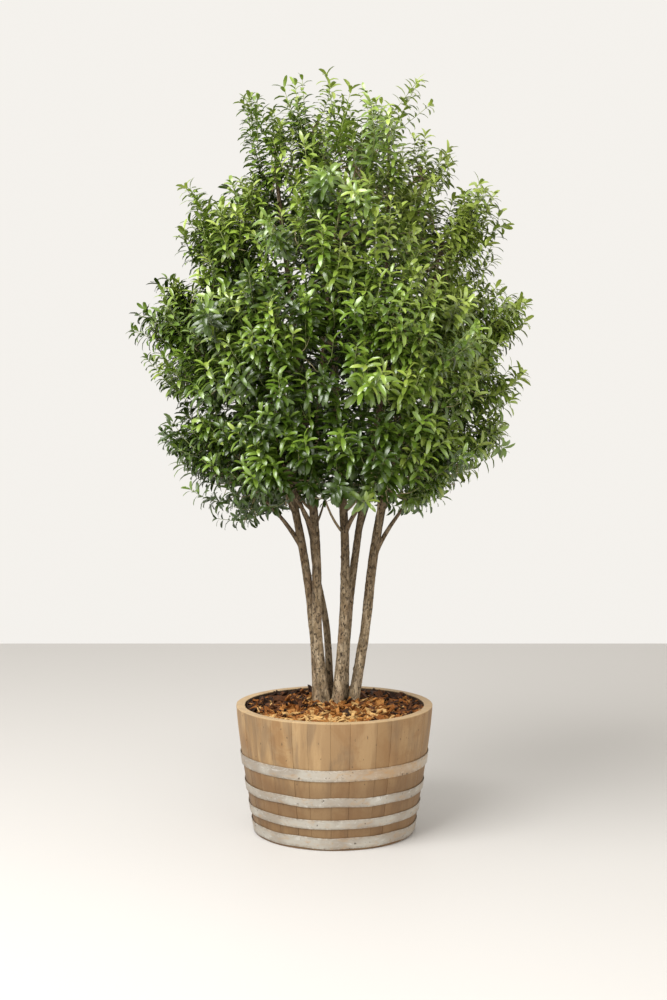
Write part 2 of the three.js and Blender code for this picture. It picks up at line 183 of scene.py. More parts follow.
class PlanterSettings(bpy.types.PropertyGroup):
    """Sizes and colours of the staves, hoops and filling."""

    edge: length("Stave edge", "Radius that the edges of a stave are worn to", 0.0010)
    seam: length("Seam", "Space between two staves at their outer edges", 0.0003)
    oak_light: colour("Light oak", "The paler staves", "#a98b62")
    oak_mid: colour("Oak", "Most of the staves", "#93744b")
    oak_dark: colour("Dark oak", "Stained wood and the barrel's inside", "#6b4c2c")
    steel: colour("Hoop steel", "Weathered galvanised steel", "#b1aca1")
    rust: colour("Rust", "Rusty marks on the hoops", "#8a5a34")
    chips: IntProperty(name="Chips", description="Bark chips on the soil", default=3200, min=0)
    chip_length: length("Chip length", "Length of a middling chip", 0.033)


class LimbSettings(bpy.types.PropertyGroup):
    """Relief and colours of the bark."""

    sides: IntProperty(name="Sides", description="Points round a stem", default=40, min=6)
    ring_step: length("Ring step", "Space between rings on a bare stem", 0.004)
    furrow: FloatProperty(
        name="Furrow", description="Depth of a furrow as a share of the radius", default=0.06, min=0
    )
    bark: colour("Bark", "Grey-brown bark", "#7f6d52")
    bark_pale: colour("Pale bark", "Patches of pale bark", "#ac9a7f")
    bark_dark: colour("Dark bark", "The bottoms of the furrows", "#30251a")


class CrownSettings(bpy.types.PropertyGroup):
    """How the crown branches, and the leaves that it carries."""

    twigs: IntProperty(name="Twigs", description="Twigs on the stem of each mass", default=20, min=1)
    sprig_step: length("Sprig step", "Distance between the points that the finer twigs grow to", 0.079)
    shoot: length("Shoot", "Length of a long leafy shoot", 0.155)
    leaders: IntProperty(
        name="Leaders", description="Pairs of long shoots tried on each mass", default=5, min=0
    )
    pair_step: length("Pair step", "Space between two pairs of leaves", 0.0142)
    leaf: length("Leaf length", "Length of a grown leaf", 0.056)
    leaf_width: FloatProperty(
        name="Leaf width", description="A leaf's width as a share of its length", default=0.268, min=0.05
    )
    # The greens differ by age, and they are also dealt out as painted light and shade: darker greens to
    # shaded shoots, paler to lit ones
    inner: colour("Inner leaves", "Leaves deep in the crown", "#34480e")
    deep: colour("Deep green", "Old leaves", "#486017")
    grown: colour("Grown green", "Most of the outer leaves", "#607826")
    fresh: colour("Fresh green", "This year's leaves", "#748931")
    young: colour("Young green", "Young leaves near the tips", "#81923b")
    pale: colour("Pale green", "The youngest leaves", "#8d9c45")
    twig_bark: colour("Twig bark", "Bark of the twigs", "#8d7c61")
    finer_bark: colour("Finer twig bark", "Bark of the finer twigs", "#9f946f")
    young_shoot: colour("Young shoot", "Stems of the leafy shoots", "#969c66")


class StageSettings(bpy.types.PropertyGroup):
    """The floor, the lights and the camera."""

    floor: colour("Floor", "Plain pale floor", "#c3c0bc")
    sky: colour("Surround", "Light that comes from all round", "#f9f6f1")
    surround: FloatProperty(name="Surround strength", description="Strength of that light", default=0.96)
    key: FloatProperty(name="Key light", description="Power of the large light", default=400, unit="POWER")
    fill: FloatProperty(name="Fill light", description="Power of the second light", default=60, unit="POWER")
    distance: length("Camera distance", "From the plant's middle to the camera", 5.40)
    eye: length("Camera height", "Height of the camera", 1.52)
    tilt: FloatProperty(
        name="Tilt", description="How far the camera looks down", default=math.radians(3.65), unit="ROTATION"
    )
    lens: FloatProperty(name="Lens", description="Focal length in mm on 36 mm of height", default=55.2)


# Meshes from arrays


def unit(vectors):
    """Vectors divided by their lengths."""
    return vectors / np.maximum(np.linalg.norm(vectors, axis=-1, keepdims=True), 1e-12)


def lerp(a, b, share):
    """a at share 0 and b at share 1."""
    return a + (b - a) * share


def polar(radius, angle, height):
    """Points at a radius and an angle about the vertical, and a height."""
    return np.stack(np.broadcast_arrays(radius * np.cos(angle), radius * np.sin(angle), height), axis=-1)


def add_piece(name, surface, material, nodes, smooth=True, marks=None):
    """One joined mesh from a surface, which is an array of points and a list of arrays of faces. It rides on
    the plant and stands for the named nodes. marks holds further numbers for each point, by name."""
    points, faces = surface
    mesh = bpy.data.meshes.new(name)
    corners = np.concatenate([part.reshape(-1) for part in faces])
    sizes = np.concatenate([np.full(len(part), part.shape[1]) for part in faces])
    mesh.vertices.add(len(points))
    mesh.vertices.foreach_set("co", np.ascontiguousarray(points, dtype=np.float32).reshape(-1))
    mesh.loops.add(len(corners))
    mesh.loops.foreach_set("vertex_index", corners.astype(np.int32))
    mesh.polygons.add(len(sizes))
    mesh.polygons.foreach_set("loop_start", (np.cumsum(sizes) - sizes).astype(np.int32))
    mesh.polygons.foreach_set("use_smooth", np.full(len(sizes), smooth))
    mesh.update(calc_edges=True)
    if mesh.validate():
        raise RuntimeError(f"the mesh of {name} had faults")
    for mark, values in (marks or {}).items():
        mesh.attributes.new(mark, "FLOAT", "POINT").data.foreach_set("value", values.astype(np.float32))
    mesh.materials.append(material)
    piece = bpy.data.objects.new(name, mesh)
    bpy.context.scene.collection.objects.link(piece)
    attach(piece, BODY)
    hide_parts(*nodes)


def skin_faces(count, rings, sides, stride, closed=False):
    """Four-sided faces between the rings of count tubes, each of which has stride points. In a closed tube
    the last ring meets the first."""
    ring, side = np.meshgrid(np.arange(rings - 1 + closed), np.arange(sides), indexing="ij")
    ahead, after = (ring + 1) % rings, (side + 1) % sides
    quads = [ring * sides + side, ring * sides + after, ahead * sides + after, ahead * sides + side]
    quads = np.stack(quads, axis=-1).reshape(-1, 4)
    return (quads[None] + np.arange(count)[:, None, None] * stride).reshape(-1, 4)


def pole_faces(count, rings, sides, stride):
    """Three-sided faces from a pole at either end, which follow the skin's points, to the end rings."""
    side = np.arange(sides)
    after = (side + 1) % sides
    low = np.stack([np.full(sides, rings * sides), after, side], axis=-1)
    last = (rings - 1) * sides
    high = np.stack([np.full(sides, rings * sides + 1), last + side, last + after], axis=-1)
    both = np.concatenate([low, high])
    return (both[None] + np.arange(count)[:, None, None] * stride).reshape(-1, 3)


def capped(skin, poles):
    """N closed tubes as one surface, from skins of N x rings x sides points and N x 2 poles."""
    count, rings, sides = skin.shape[:3]
    stride = rings * sides + 2
    points = np.concatenate([skin.reshape(count, -1, 3), poles], axis=1).reshape(-1, 3)
    return points, [skin_faces(count, rings, sides, stride), pole_faces(count, rings, sides, stride)]


def across_path(paths):
    """Two directions at each of K points of N paths, square to the tangent and to each other. The first is
    the tangent crossed with whichever axis lies least along the path's chord."""
    tangents = unit(np.gradient(paths, axis=1))
    chord = np.abs(paths[:, -1] - paths[:, 0])
    axis = np.eye(3)[chord.argmin(axis=1)]
    across = unit(np.cross(tangents, axis[:, None]))
    return across, np.cross(tangents, across)


def tubes(paths, radii, sides):
    """Closed tubes along N paths of K points. The point at angle a is path + radius * (across * cos a +
    through * sin a), and radii holds one number for each point of a path or for each point of the skin."""
    across, through = across_path(paths)
    angle = np.arange(sides)[:, None] * FULL_TURN / sides
    round_path = across[:, :, None] * np.cos(angle) + through[:, :, None] * np.sin(angle)
    if radii.ndim == 2:
        radii = radii[:, :, None]
    return capped(paths[:, :, None] + round_path * radii[..., None], paths[:, [0, -1]])


def joined(surfaces):
    """Several surfaces as one, with each one's faces counted on from the last."""
    points, faces, start = [], [], 0
    for part_points, part_faces in surfaces:
        points.append(part_points)
        faces += [face + start for face in part_faces]
        start += len(part_points)
    return np.concatenate(points), faces


def turned(profile, sides, uneven=0.0):
    """A closed surface of revolution: the profile's rows are (radius, height), from one pole to the other,
    and uneven adds to the height of every point between them."""
    radius, height = (column[1:-1, None] for column in np.asarray(profile, float).T)
    angle = np.arange(sides) * FULL_TURN / sides
    poles = np.array([[0, 0, profile[0][1]], [0, 0, profile[-1][1]]])
    return capped(polar(radius, angle, height + uneven)[None], poles[None])


def smooth_noise(rng, around, along, cells, spacing):
    """Value noise on a limb's skin, from 0 to 1: random numbers at the corners of a lattice, blended by
    t * t * (3 - 2 * t). It wraps round a limb after cells cells, and spacing is a cell's length."""
    rows = int(along.max() / spacing) + 2
    lattice = rng.random((rows, cells))
    v, u = along / spacing, around * cells
    row, column = np.floor(v).astype(int), np.floor(u).astype(int)
    t, s = v - row, u - column
    t, s = t * t * (3 - 2 * t), s * s * (3 - 2 * s)
    column, after = column % cells, (column + 1) % cells
    low = lerp(lattice[row, column], lattice[row, after], s)
    high = lerp(lattice[row + 1, column], lattice[row + 1, after], s)
    return lerp(low, high, t)


# Curves


def smooth_curve(points, per_stretch=60):
    """A centripetal spline through the points. Between P1 and P2 it is the cubic whose end slopes come from
    the points before and after, each stretch being as long in time as the root of its length."""
    points = np.asarray(points, float)
    before, after = 2 * points[0] - points[1], 2 * points[-1] - points[-2]
    padded = np.vstack([before, points, after])
    t = np.linspace(0, 1, per_stretch, endpoint=False)[:, None]
    runs = []
    for p0, p1, p2, p3 in zip(padded, padded[1:], padded[2:], padded[3:]):
        d0, d1, d2 = (math.sqrt(np.linalg.norm(b - a)) for a, b in ((p0, p1), (p1, p2), (p2, p3)))
        m1 = ((p1 - p0) / d0 - (p2 - p0) / (d0 + d1) + (p2 - p1) / d1) * d1
        m2 = ((p2 - p1) / d1 - (p3 - p1) / (d1 + d2) + (p3 - p2) / d2) * d1
        cubic = 2 * p1 - 2 * p2 + m1 + m2
        square = 3 * p2 - 3 * p1 - 2 * m1 - m2
        runs.append(((cubic * t + square) * t + m1) * t + p1)
    return np.vstack([*runs, points[-1:]])


def bent_curve(start, bend, end, t):
    """Quadratic curves (1 - t)^2 start + 2 t (1 - t) bend + t^2 end, for N curves at K values of t."""
    t = np.asarray(t)[..., None]
    start, bend, end = (np.asarray(p)[..., None, :] for p in (start, bend, end))
    return (1 - t) ** 2 * start + 2 * t * (1 - t) * bend + t**2 * end


class Path:
    """A curve that is read at shares of its length."""

    def __init__(self, points):
        steps = np.linalg.norm(np.diff(points, axis=0), axis=1)
        self.points = points
        self.run = np.concatenate([[0], np.cumsum(steps)])
        self.length = self.run[-1]

    def at(self, share):
        """The points at these shares."""
        run = np.asarray(share) * self.length
        return np.stack([np.interp(run, self.run, column) for column in self.points.T], axis=-1)

    def heading(self, share, step=1e-3):
        """The tangents at these shares."""
        share = np.asarray(share)
        return unit(self.at(np.minimum(share + step, 1)) - self.at(np.maximum(share - step, 0)))

    def share_at_height(self, z):
        """The share at which a rising curve passes a height."""
        return float(np.interp(z, self.points[:, 2], self.run)) / self.length


# The crown's spaces

MASS_NAMES = list(MASSES)
CENTRES = np.array([mass.centre for mass in MASSES.values()])
RADII = np.array([mass.radii for mass in MASSES.values()])


def boundaries():
    """The flat boundary of each mass's space towards each other mass, as a direction and a distance from
    its centre: (apart + (R^2 - r^2) / apart) / 2, less a gap, where R and r are the masses' mean radii."""
    towards = CENTRES[None] - CENTRES[:, None]
    apart = np.linalg.norm(towards, axis=-1)
    mean_square = np.cbrt(RADII.prod(axis=1)) ** 2
    np.fill_diagonal(apart, 1)
    distance = (apart + (mean_square[:, None] - mean_square[None]) / apart) / 2 - SPACE_GAP
    np.fill_diagonal(distance, np.inf)
    return towards / apart[..., None], distance


TOWARDS, DISTANCES = boundaries()


def shell_ahead(points, directions, mass):
    """How far each ray runs to its mass's ellipsoid, where |(p + t d - c) / r| = 1."""
    offset, scaled = (points - CENTRES[mass]) / RADII[mass], directions / RADII[mass]
    a, b = (scaled**2).sum(axis=1), (offset * scaled).sum(axis=1)
    under_root = b * b - a * ((offset**2).sum(axis=1) - 1)
    return (np.sqrt(np.maximum(under_root, 0)) - b) / a


def walls_ahead(points, directions, mass, interlaced=0.0):
    """How far each ray runs to the nearest flat boundary of its mass's space, or as far as it may interlace
    with the neighbour past that, where (p + t d - c) . n = distance."""
    closing = np.einsum("nk,nmk->nm", directions, TOWARDS[mass])
    inside = np.einsum("nk,nmk->nm", points - CENTRES[mass], TOWARDS[mass])
    room = DISTANCES[mass] + interlaced - inside
    return np.where(closing > TINY, room / np.maximum(closing, TINY), np.inf).min(axis=1)


def box_ahead(points, directions):
    """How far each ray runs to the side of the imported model's box."""
    to_side = np.where(directions > 0, BOX_HIGH, BOX_LOW) - points
    box = np.full(points.shape, np.inf)
    np.divide(to_side, directions, out=box, where=np.abs(directions) > TINY)
    return box.min(axis=1)


def room_ahead(points, directions, mass, interlaced=0.0):
    """How far each ray runs before it leaves its mass's space."""
    shell = np.minimum(shell_ahead(points, directions, mass), box_ahead(points, directions))
    return np.maximum(np.minimum(shell, walls_ahead(points, directions, mass, interlaced)), 0)


def reach(mass, direction):
    """How far a mass's space reaches from its centre in one direction."""
    return room_ahead(CENTRES[mass][None], np.asarray(direction)[None], np.array([mass]))[0]


def entry_point(mass, start):
    """Where a limb that comes from a point ends inside a mass's space."""
    back = unit(start - CENTRES[mass])
    return CENTRES[mass] + back * reach(mass, back) * ENTRY_SHARE


# Stems and boughs


class Limb(NamedTuple):
    """A stem or bough: its path, its radius at a share of that, and the mass it ends in."""

    name: str
    ends: int
    path: Path
    radius_at: object


# A stem's flare and a bough's collar add a share to the radius, which fades over a height or a share
FLARE_SHARE, FLARE_HEIGHT = 0.28, 0.045
COLLAR, COLLAR_SHARE = 0.25, 0.11
# A bough's radius at its butt, as a share of the stem's and at most, and at its tip
BOUGH_BUTT, BOUGH_THICKEST, BOUGH_TIP = 0.62, 0.011, 0.0046
# How far a bough follows its stem, is lifted and bends over, as shares of its span
BOUGH_RISE, BOUGH_LIFT, BOUGH_BEND = 0.16, 0.05, 0.3
BOUGH_POINTS = 120


def stem_limb(name, plan):
    """A stem: a smooth curve through its foot, knee and waist to the mass that sits on its tip. Its radius
    runs straight from foot to waist to tip, times 1 + flare * exp(-height / flare height)."""
    ends = next(i for i, mass in enumerate(MASSES.values()) if mass.on == name and not mass.leaves)
    foot, knee = np.array([*plan.foot, FOOT]), np.array([*plan.knee, KNEE])
    waist = np.array([*plan.waist, WAIST])
    below = lerp(foot, knee, -BELOW_CUT / (KNEE - FOOT))
    path = Path(smooth_curve([below, foot, knee, waist, entry_point(ends, waist)]))
    foot_share = BELOW_CUT / path.length
    waist_share = foot_share + (WAIST - FOOT) / path.length

    def radius_at(share):
        risen = np.maximum(share - foot_share, 0)
        flare = 1 + FLARE_SHARE * np.exp(-risen * path.length / FLARE_HEIGHT)
        return np.interp(share, [foot_share, waist_share, 1], plan.radii) * flare

    return Limb(name, ends, path, radius_at)


def bough_limb(name, mass, stem):
    """A bough: it follows its stem, bends out and ends in its mass, as a quadratic curve. Its radius runs
    straight from butt to tip, times 1 + collar * exp(-share / collar share)."""
    index = MASS_NAMES.index(name)
    share = stem.path.share_at_height(mass.leaves)
    butt = stem.path.at(share)
    tip = entry_point(index, butt)
    span = np.linalg.norm(tip - butt)
    bend = lerp(butt + stem.path.heading(share) * span * BOUGH_RISE, tip, BOUGH_BEND)
    bend = bend + UP * span * BOUGH_LIFT
    path = Path(bent_curve(butt, bend, tip, np.linspace(0, 1, BOUGH_POINTS)))
    butt_radius = min(BOUGH_THICKEST, float(stem.radius_at(share)) * BOUGH_BUTT)

    def radius_at(t):
        return (1 + COLLAR * np.exp(-t / COLLAR_SHARE)) * lerp(butt_radius, BOUGH_TIP, t)

    return Limb(f"bough_{name}", index, path, radius_at)


def make_limbs():
    """Every stem, then every bough."""
    stems = {name: stem_limb(name, plan) for name, plan in STEMS.items()}
    boughs = [bough_limb(name, mass, stems[mass.on]) for name, mass in MASSES.items() if mass.leaves]
    return [*stems.values(), *boughs]


LIMBS = make_limbs()

# Above this height the rings of a limb's skin are this far apart
BARE_HEIGHT, CROWN_STEP = 1.22, 0.011
# Noises of the bark: cells round the limb, and a cell's length
COARSE_FURROWS, FINE_FURROWS = (9, 0.052), (15, 0.027)
SWELL, BUMPS = (3, 0.085), (22, 0.006)
FINE_SHARE, FURROW_SHARPNESS = 0.55, 5
SWELL_DEPTH, BUMP_DEPTH = 0.13, 0.035
KNOTS_PER_METRE, KNOT_HEIGHTS, KNOT_WIDTHS = 24, (0.06, 0.17), (0.18, 0.45)
LOBES, LOBE_DEPTH = 3, 0.1
LIMB_SEED, FURROW_STRENGTH = 100, 0.5


def bark_relief(rng, around, along, radius, furrow):
    """How much each point of a limb's skin stands out, as a share of the radius, and how far it lies in a
    furrow. Furrows lie where either of two noises passes its middle value. Slow swells, fine bumps and
    knots, which are bells round random points, are added."""
    coarse, fine = (
        1 - np.abs(2 * smooth_noise(rng, around, along, *cells) - 1)
        for cells in (COARSE_FURROWS, FINE_FURROWS)
    )
    furrows = coarse**FURROW_SHARPNESS + FINE_SHARE * fine**FURROW_SHARPNESS
    swell, bumps = (smooth_noise(rng, around, along, *cells) - 0.5 for cells in (SWELL, BUMPS))
    relief = SWELL_DEPTH * swell + BUMP_DEPTH * bumps - furrow * furrows
    for _ in range(int(along.max() * KNOTS_PER_METRE)):
        turn, place, height = rng.random(), rng.random() * along.max(), rng.uniform(*KNOT_HEIGHTS)
        gap = (np.abs(around - turn + 0.5) % 1 - 0.5) * FULL_TURN
        apart = gap**2 + ((along - place) / radius) ** 2
        relief = relief + height * np.exp(-apart / rng.uniform(*KNOT_WIDTHS) ** 2)
    return relief, furrows


def limb_surface(limb, settings, rng):
    """A limb's skin: its path's tube, whose radius is the limb's times 1 + bark relief. The foot of a stem
    also spreads in lobes, depth * cos(lobes * angle + phase), which fade above the soil."""
    is_stem = limb.name in STEMS
    length = limb.path.length
    run = BELOW_CUT - SUNK_FOOT if is_stem else 0.0
    steps = []
    while run < length:
        steps.append(run)
        is_bare = limb.path.at(run / length)[2] < BARE_HEIGHT
        run += settings.ring_step if is_bare else CROWN_STEP
    share = np.array([*steps, length]) / length
    sides = settings.sides if is_stem else settings.sides // 2
    along, around = np.meshgrid(share * length, np.arange(sides) / sides, indexing="ij")
    radius = limb.radius_at(share)[:, None]
    relief, furrows = bark_relief(rng, around, along, radius, settings.furrow)
    if is_stem:
        risen = np.maximum(along - BELOW_CUT, 0)
        lobes = np.cos(around * LOBES * FULL_TURN + rng.random() * FULL_TURN)
        relief = relief + LOBE_DEPTH * lobes * np.exp(-risen / FLARE_HEIGHT)
    surface = tubes(limb.path.at(share)[None], (radius * (1 + relief))[None], sides)
    return surface, np.concatenate([furrows.reshape(-1), [0, 0]])


# The crown's growth


class Growth(NamedTuple):
    """Twigs or shoots: their curves' start, bend and end, their radii at both ends, and their masses."""

    start: np.ndarray
    bend: np.ndarray
    end: np.ndarray
    radii: np.ndarray
    mass: np.ndarray

    def point(self, t):
        """The points at t, one for each curve."""
        t = np.broadcast_to(t, len(self.start))[:, None]
        return bent_curve(self.start, self.bend, self.end, t)[:, 0]

    def heading(self, t):
        """The tangents at t, one for each curve."""
        t = np.broadcast_to(t, len(self.start))[:, None]
        return unit((1 - t) * (self.bend - self.start) + t * (self.end - self.bend))

    def span(self):
        """The distances from start to end."""
        return np.linalg.norm(self.end - self.start, axis=1)

    def chosen(self, keep):
        """The same with only some of the curves."""
        return Growth(*(column[keep] for column in self))

    def swept(self, rings, sides):
        """Closed tubes along the curves."""
        t = np.linspace(0, 1, rings)
        paths = bent_curve(self.start, self.bend, self.end, t)
        return tubes(paths, lerp(self.radii[:, :1], self.radii[:, 1:], t[None]), sides)


def curves(start, bend, end, radii, mass):
    """Growth whose curves share their radii, with the mass of them all or one for each."""
    count = len(start)
    return Growth(start, bend, end, np.tile(radii, (count, 1)), np.broadcast_to(mass, count))


def together(parts):
    """Several growths as one."""
    return Growth(*(np.concatenate(columns) for columns in zip(*parts)))


# Radii at both ends: the masses' own stems, twigs, finer twigs, side branches, long shoots, short shoots
SPINE_RADII, TWIG_RADII, FINER_RADII = (0.0050, 0.0028), (0.0030, 0.0015), (0.0019, 0.0011)
BRANCH_RADII, LEADER_RADII, SHOOT_RADII = (0.0054, 0.0026), (0.0017, 0.0008), (0.0014, 0.0008)

# The crown's body: its radius at each height, its depth as a share of its width, and the share of its
# radius that twigs keep to. A shoot adds a margin and a rise to the place that it starts at.
BODY_HEIGHTS = (1.07, 1.25, 1.42, 1.62, 1.86, 2.09, 2.25, 2.34, 2.42, 2.56, 2.66)
BODY_RADII = (0.41, 0.51, 0.62, 0.66, 0.645, 0.555, 0.46, 0.39, 0.26, 0.11, 0.04)
BODY_DEPTH, BODY_EDGE = 0.92, 0.95
SHOOT_MARGIN, SHOOT_RISE = 0.095, 0.09
# How far growth may pass its mass's boundary, how far outside its ellipsoid it may start, and the room it
# has there
INTERLACED, VALLEY_SHARE, VALLEY_ROOM = 0.045, 1.12, 0.085

# Ramps, each a row of places and a row of values: the underside's height from left to right, how exposed
# a point is above it, and the share of finer twigs and of shoots that is kept by how exposed they are
UNDERSIDE = (
    (-0.60, -0.45, -0.34, -0.24, -0.12, 0.14, 0.24, 0.34, 0.46, 0.60),
    (1.24, 1.15, 1.07, 1.13, 1.18, 1.18, 1.145, 1.185, 1.27, 1.30),
)
UNDERSIDE_EXPOSURE = (0.06, 0.22), (0.85, 0.40)
INNER_TWIGS = (0.45, 0.70), (0.12, 1.0)
INNER_SHOOTS = (0.55, 0.88), (0.05, 1.0)
# By height: how far shoots pass the body, and the shares of shoots and of leaders that are kept
SHOOT_LIMITS = (2.20, 2.42), (0.045, 0.085)
TOP_THINNING = (2.25, 2.46), (1.0, 0.32)
LEADER_THINNING = (2.20, 2.45), (1.0, 0.42)
# The share that is kept by the ripple of the clumps, whose wave is stretched from front to back
CLUMPS = (-1.0, -0.3), (0.16, 1.0)
CLUMP_WAVE, CLUMP_STRETCH, CLUMP_SEED = 0.15, (1, 0.3, 1), 4
RIPPLE_WAVES, RIPPLE_PACES = 8, (0.7, 1.4)

# A mass's own stem: how far it runs straight on from its limb, how far it rises past the middle, and the
# shares of it that its tip's curve starts, bends and ends at
SPINE_STRAIGHT, SPINE_RISE, SPINE_TIP = 0.018, 0.15, (0.9, 0.95, 1.0)
# Twigs leave between two shares of the spine towards two shares of the space's height. They reach a share
# of the room, a larger one where a neighbour takes some of it, and are drawn in where they pass the body.
TWIG_FIRST, TWIG_LAST = 0.35, 0.98
TWIG_LOWEST, TWIG_HIGHEST = -0.9, 0.95
TWIG_REACH, TWIG_REACH_INWARD, TWIG_UNEVEN = 0.60, 0.80, (0.88, 1.12)
OPEN_SHARE, DRAW_ROUNDS, DRAWN_IN = 0.97, 4, 0.85
TWIG_SAG = 0.1
# Finer twigs: the places on a parent that they leave, how much its heading counts, their way and the
# shortest. A way is how far a curve follows its parent, runs straight to its end and sags.
FINER_PLACES = np.linspace(0.3, 1, 8)
FINER_AHEAD, FINER_WAY, SHORTEST_FINER = 0.3, (0.35, 0.25, TWIG_SAG), 0.015
# Side branches: heights and number on a stem, turn of the first, lengths, and how far out and up the bend
# and the end lie, as shares of the length
BRANCH_HEIGHTS, BRANCH_COUNT, BRANCH_TURN = (1.02, 1.32), 4, 0.6
BRANCH_LENGTHS, BRANCH_BEND, BRANCH_END = (0.16, 0.26), (0.38, 0.30), (0.55, 0.85)
# How shoots lean out by height, more the further they are from the middle, up by how far over the
# underside they are, and by chance, and how far they follow their parent and lie from start to bend
LEAN_OUT = (1.1, 1.5, 2.1, 2.6), (1.2, 0.75, 0.35, 0.15)
LEAN_UP = (0.0, 0.10), (-0.2, 1.0)
LEAN_RADIUS, LEAN_MOST, LEAN_CHANCE, MIDDLE_RADIUS = 0.45, 1.2, 0.16, 0.02
SHOOT_FOLLOW, SHOOT_BEND, SHORTEST_SHOOT = 0.45, 0.45, 0.045
# Leaders: how steeply their masses' axes lean by height, how far they spread from it and in a pair, how
# much of the room they take, how much lower starts count as nearer, their way and their limits
LEADER_SLOPES = (1.1, 1.5, 2.1, 2.6), (2.6, 2.0, 0.8, 0.15)
LEADER_SPREAD, PAIR_SPREAD, SLOPE_RADII = 0.46, 0.07, (0.05, 0.3)
LEADER_REACH, LEADER_CLIMB, LEADER_CHANCE = (0.90, 0.985), 0.45, 0.02
LEADER_WAY, LEADER_OUTSIDE, LONGEST_LEADER, LEAST_RISE = (0.2, 0.3, 0.05), 1.02, 0.40, 0.12
# How far growth keeps from the limbs, where on a curve that counts, and how far apart limbs are sampled
CLEAR_OF_LIMB, CLEAR_PLACES, SAMPLE_STEP = 0.006, np.linspace(0.3, 1, 5), 0.012
PART_SIZE = 2000
# How far twigs and shoots may hang under the underside
TWIGS_UNDER, SHOOTS_UNDER = 0.03, 0.02
# Where the sky shows through in the shown view: x, z on the plane y = 0, and a radius
SKY_GAPS = (
    (0.090, 2.170, 0.022),
    (-0.175, 1.835, 0.024),
    (-0.070, 1.695, 0.022),
    (0.268, 1.750, 0.020),
    (-0.370, 1.240, 0.024),
    (0.190, 1.560, 0.016),
    (-0.290, 2.060, 0.016),
)
SKY_PLACES = (0.4, 0.7, 1.0)
# The place on a twig that its side shoots leave
TWIG_SHOOT_PLACE = 0.7
CROWN_SEED, LEAF_SEED = 20, 31
# Rings along a tube and sides round it
SPINE_SKIN, TWIG_SKIN, FINER_SKIN, STALK_SKIN = (10, 8), (7, 6), (5, 5), (4, 4)


def mass_spines():
    """The stem of each mass: it goes on from its limb's tip and rises past the middle of its space."""
    spines = []
    for index, centre in enumerate(CENTRES):
        limb = next(limb for limb in LIMBS if limb.ends == index)
        heading = limb.path.heading(1.0)
        start = limb.path.at(1.0) + heading * SEAT_GAP
        crest = centre + UP * reach(index, UP) * SPINE_RISE
        spines.append(Path(smooth_curve([start, start + heading * SPINE_STRAIGHT, crest])))
    return spines


def turned_about(vectors, axes, angles):
    """Vectors square to the axes, turned about them: v cos a + (axis x v) sin a."""
    angles = np.asarray(angles)[:, None]
    return vectors * np.cos(angles) + np.cross(axes, vectors) * np.sin(angles)


def level_turn(turn, height=0.0):
    """Directions at these angles round the plant, as far up as height says."""
    return polar(np.sqrt(1 - height**2), turn, height)


def first_twigs(spines, count, rng):
    """Each mass's twigs. They run from its spine towards points spread evenly over its space by the golden
    angle, the middle one straight out from the plant, and sag a little. Those that face a neighbour reach
    further, so that the crown has no seam there, and those that pass the body's edge are drawn in."""
    parts = []
    rank = (np.arange(count) + 0.5) / count
    height = lerp(TWIG_LOWEST, TWIG_HIGHEST, rank)
    for index, (spine, centre) in enumerate(zip(spines, CENTRES)):
        turn = math.atan2(centre[1], centre[0]) + (np.arange(count) - count // 2) * GOLDEN_ANGLE
        outward = level_turn(turn, height)
        start = spine.at(lerp(TWIG_FIRST, TWIG_LAST, rank))
        mass, middle = np.full(count, index), np.tile(centre, (count, 1))
        far = room_ahead(middle, outward, mass)
        is_inward = far < OPEN_SHARE * shell_ahead(middle, outward, mass)
        share = np.where(is_inward, TWIG_REACH_INWARD, TWIG_REACH) * rng.uniform(*TWIG_UNEVEN, count)
        end = centre + outward * (far * share)[:, None]
        for _ in range(DRAW_ROUNDS):
            end = np.where((body_share(end) > BODY_EDGE)[:, None], lerp(centre, end, DRAWN_IN), end)
        sag = np.linalg.norm(end - start, axis=1) * TWIG_SAG
        parts.append(curves(start, (start + end) / 2 - UP * sag[:, None], end, TWIG_RADII, mass))
    return together(parts)


def ripple(points, wave, seed):
    """An uneven number over space, about -1 to 1: sum of cos(2 pi d . p / wave + phase) over eight random
    directions d, divided by 2."""
    rng = np.random.default_rng(seed)
    paces = rng.normal(0, 1, (RIPPLE_WAVES, 3))
    directions = unit(paces) * rng.uniform(*RIPPLE_PACES, (RIPPLE_WAVES, 1))
    phases = rng.random(RIPPLE_WAVES) * FULL_TURN
    return np.cos(points @ directions.T * (FULL_TURN / wave) + phases).sum(axis=1) / 2


def clumping(points):
    """The share of growth that is kept at each point. It is small in loose places between the sprays, which
    run on from front to back, so that the sky shows there."""
    return np.interp(ripple(points * CLUMP_STRETCH, CLUMP_WAVE, CLUMP_SEED), *CLUMPS)


def body_radius(z):
    """The radius of the crown's body at a height."""
    return np.interp(z, BODY_HEIGHTS, BODY_RADII)


def body_share(points):
    """How far out points lie in the body of the crown: their distance from the middle, plus what a shoot
    adds to it, as a share of the body's radius where the shoot ends. The body is a little less deep than
    wide."""
    radius = np.hypot(points[:, 0], points[:, 1] / BODY_DEPTH)
    return (radius + SHOOT_MARGIN) / body_radius(points[:, 2] + SHOOT_RISE)


def above_underside(points):
    """How far points lie above the height that the crown starts at, which is lowest on the left."""
    return points[:, 2] - np.interp(points[:, 0], *UNDERSIDE)


def exposure(points):
    """How near points lie to the outside of the crown: their share of the body, or a share that grows
    towards the underside where that is more."""
    return np.maximum(body_share(points), np.interp(above_underside(points), *UNDERSIDE_EXPOSURE))


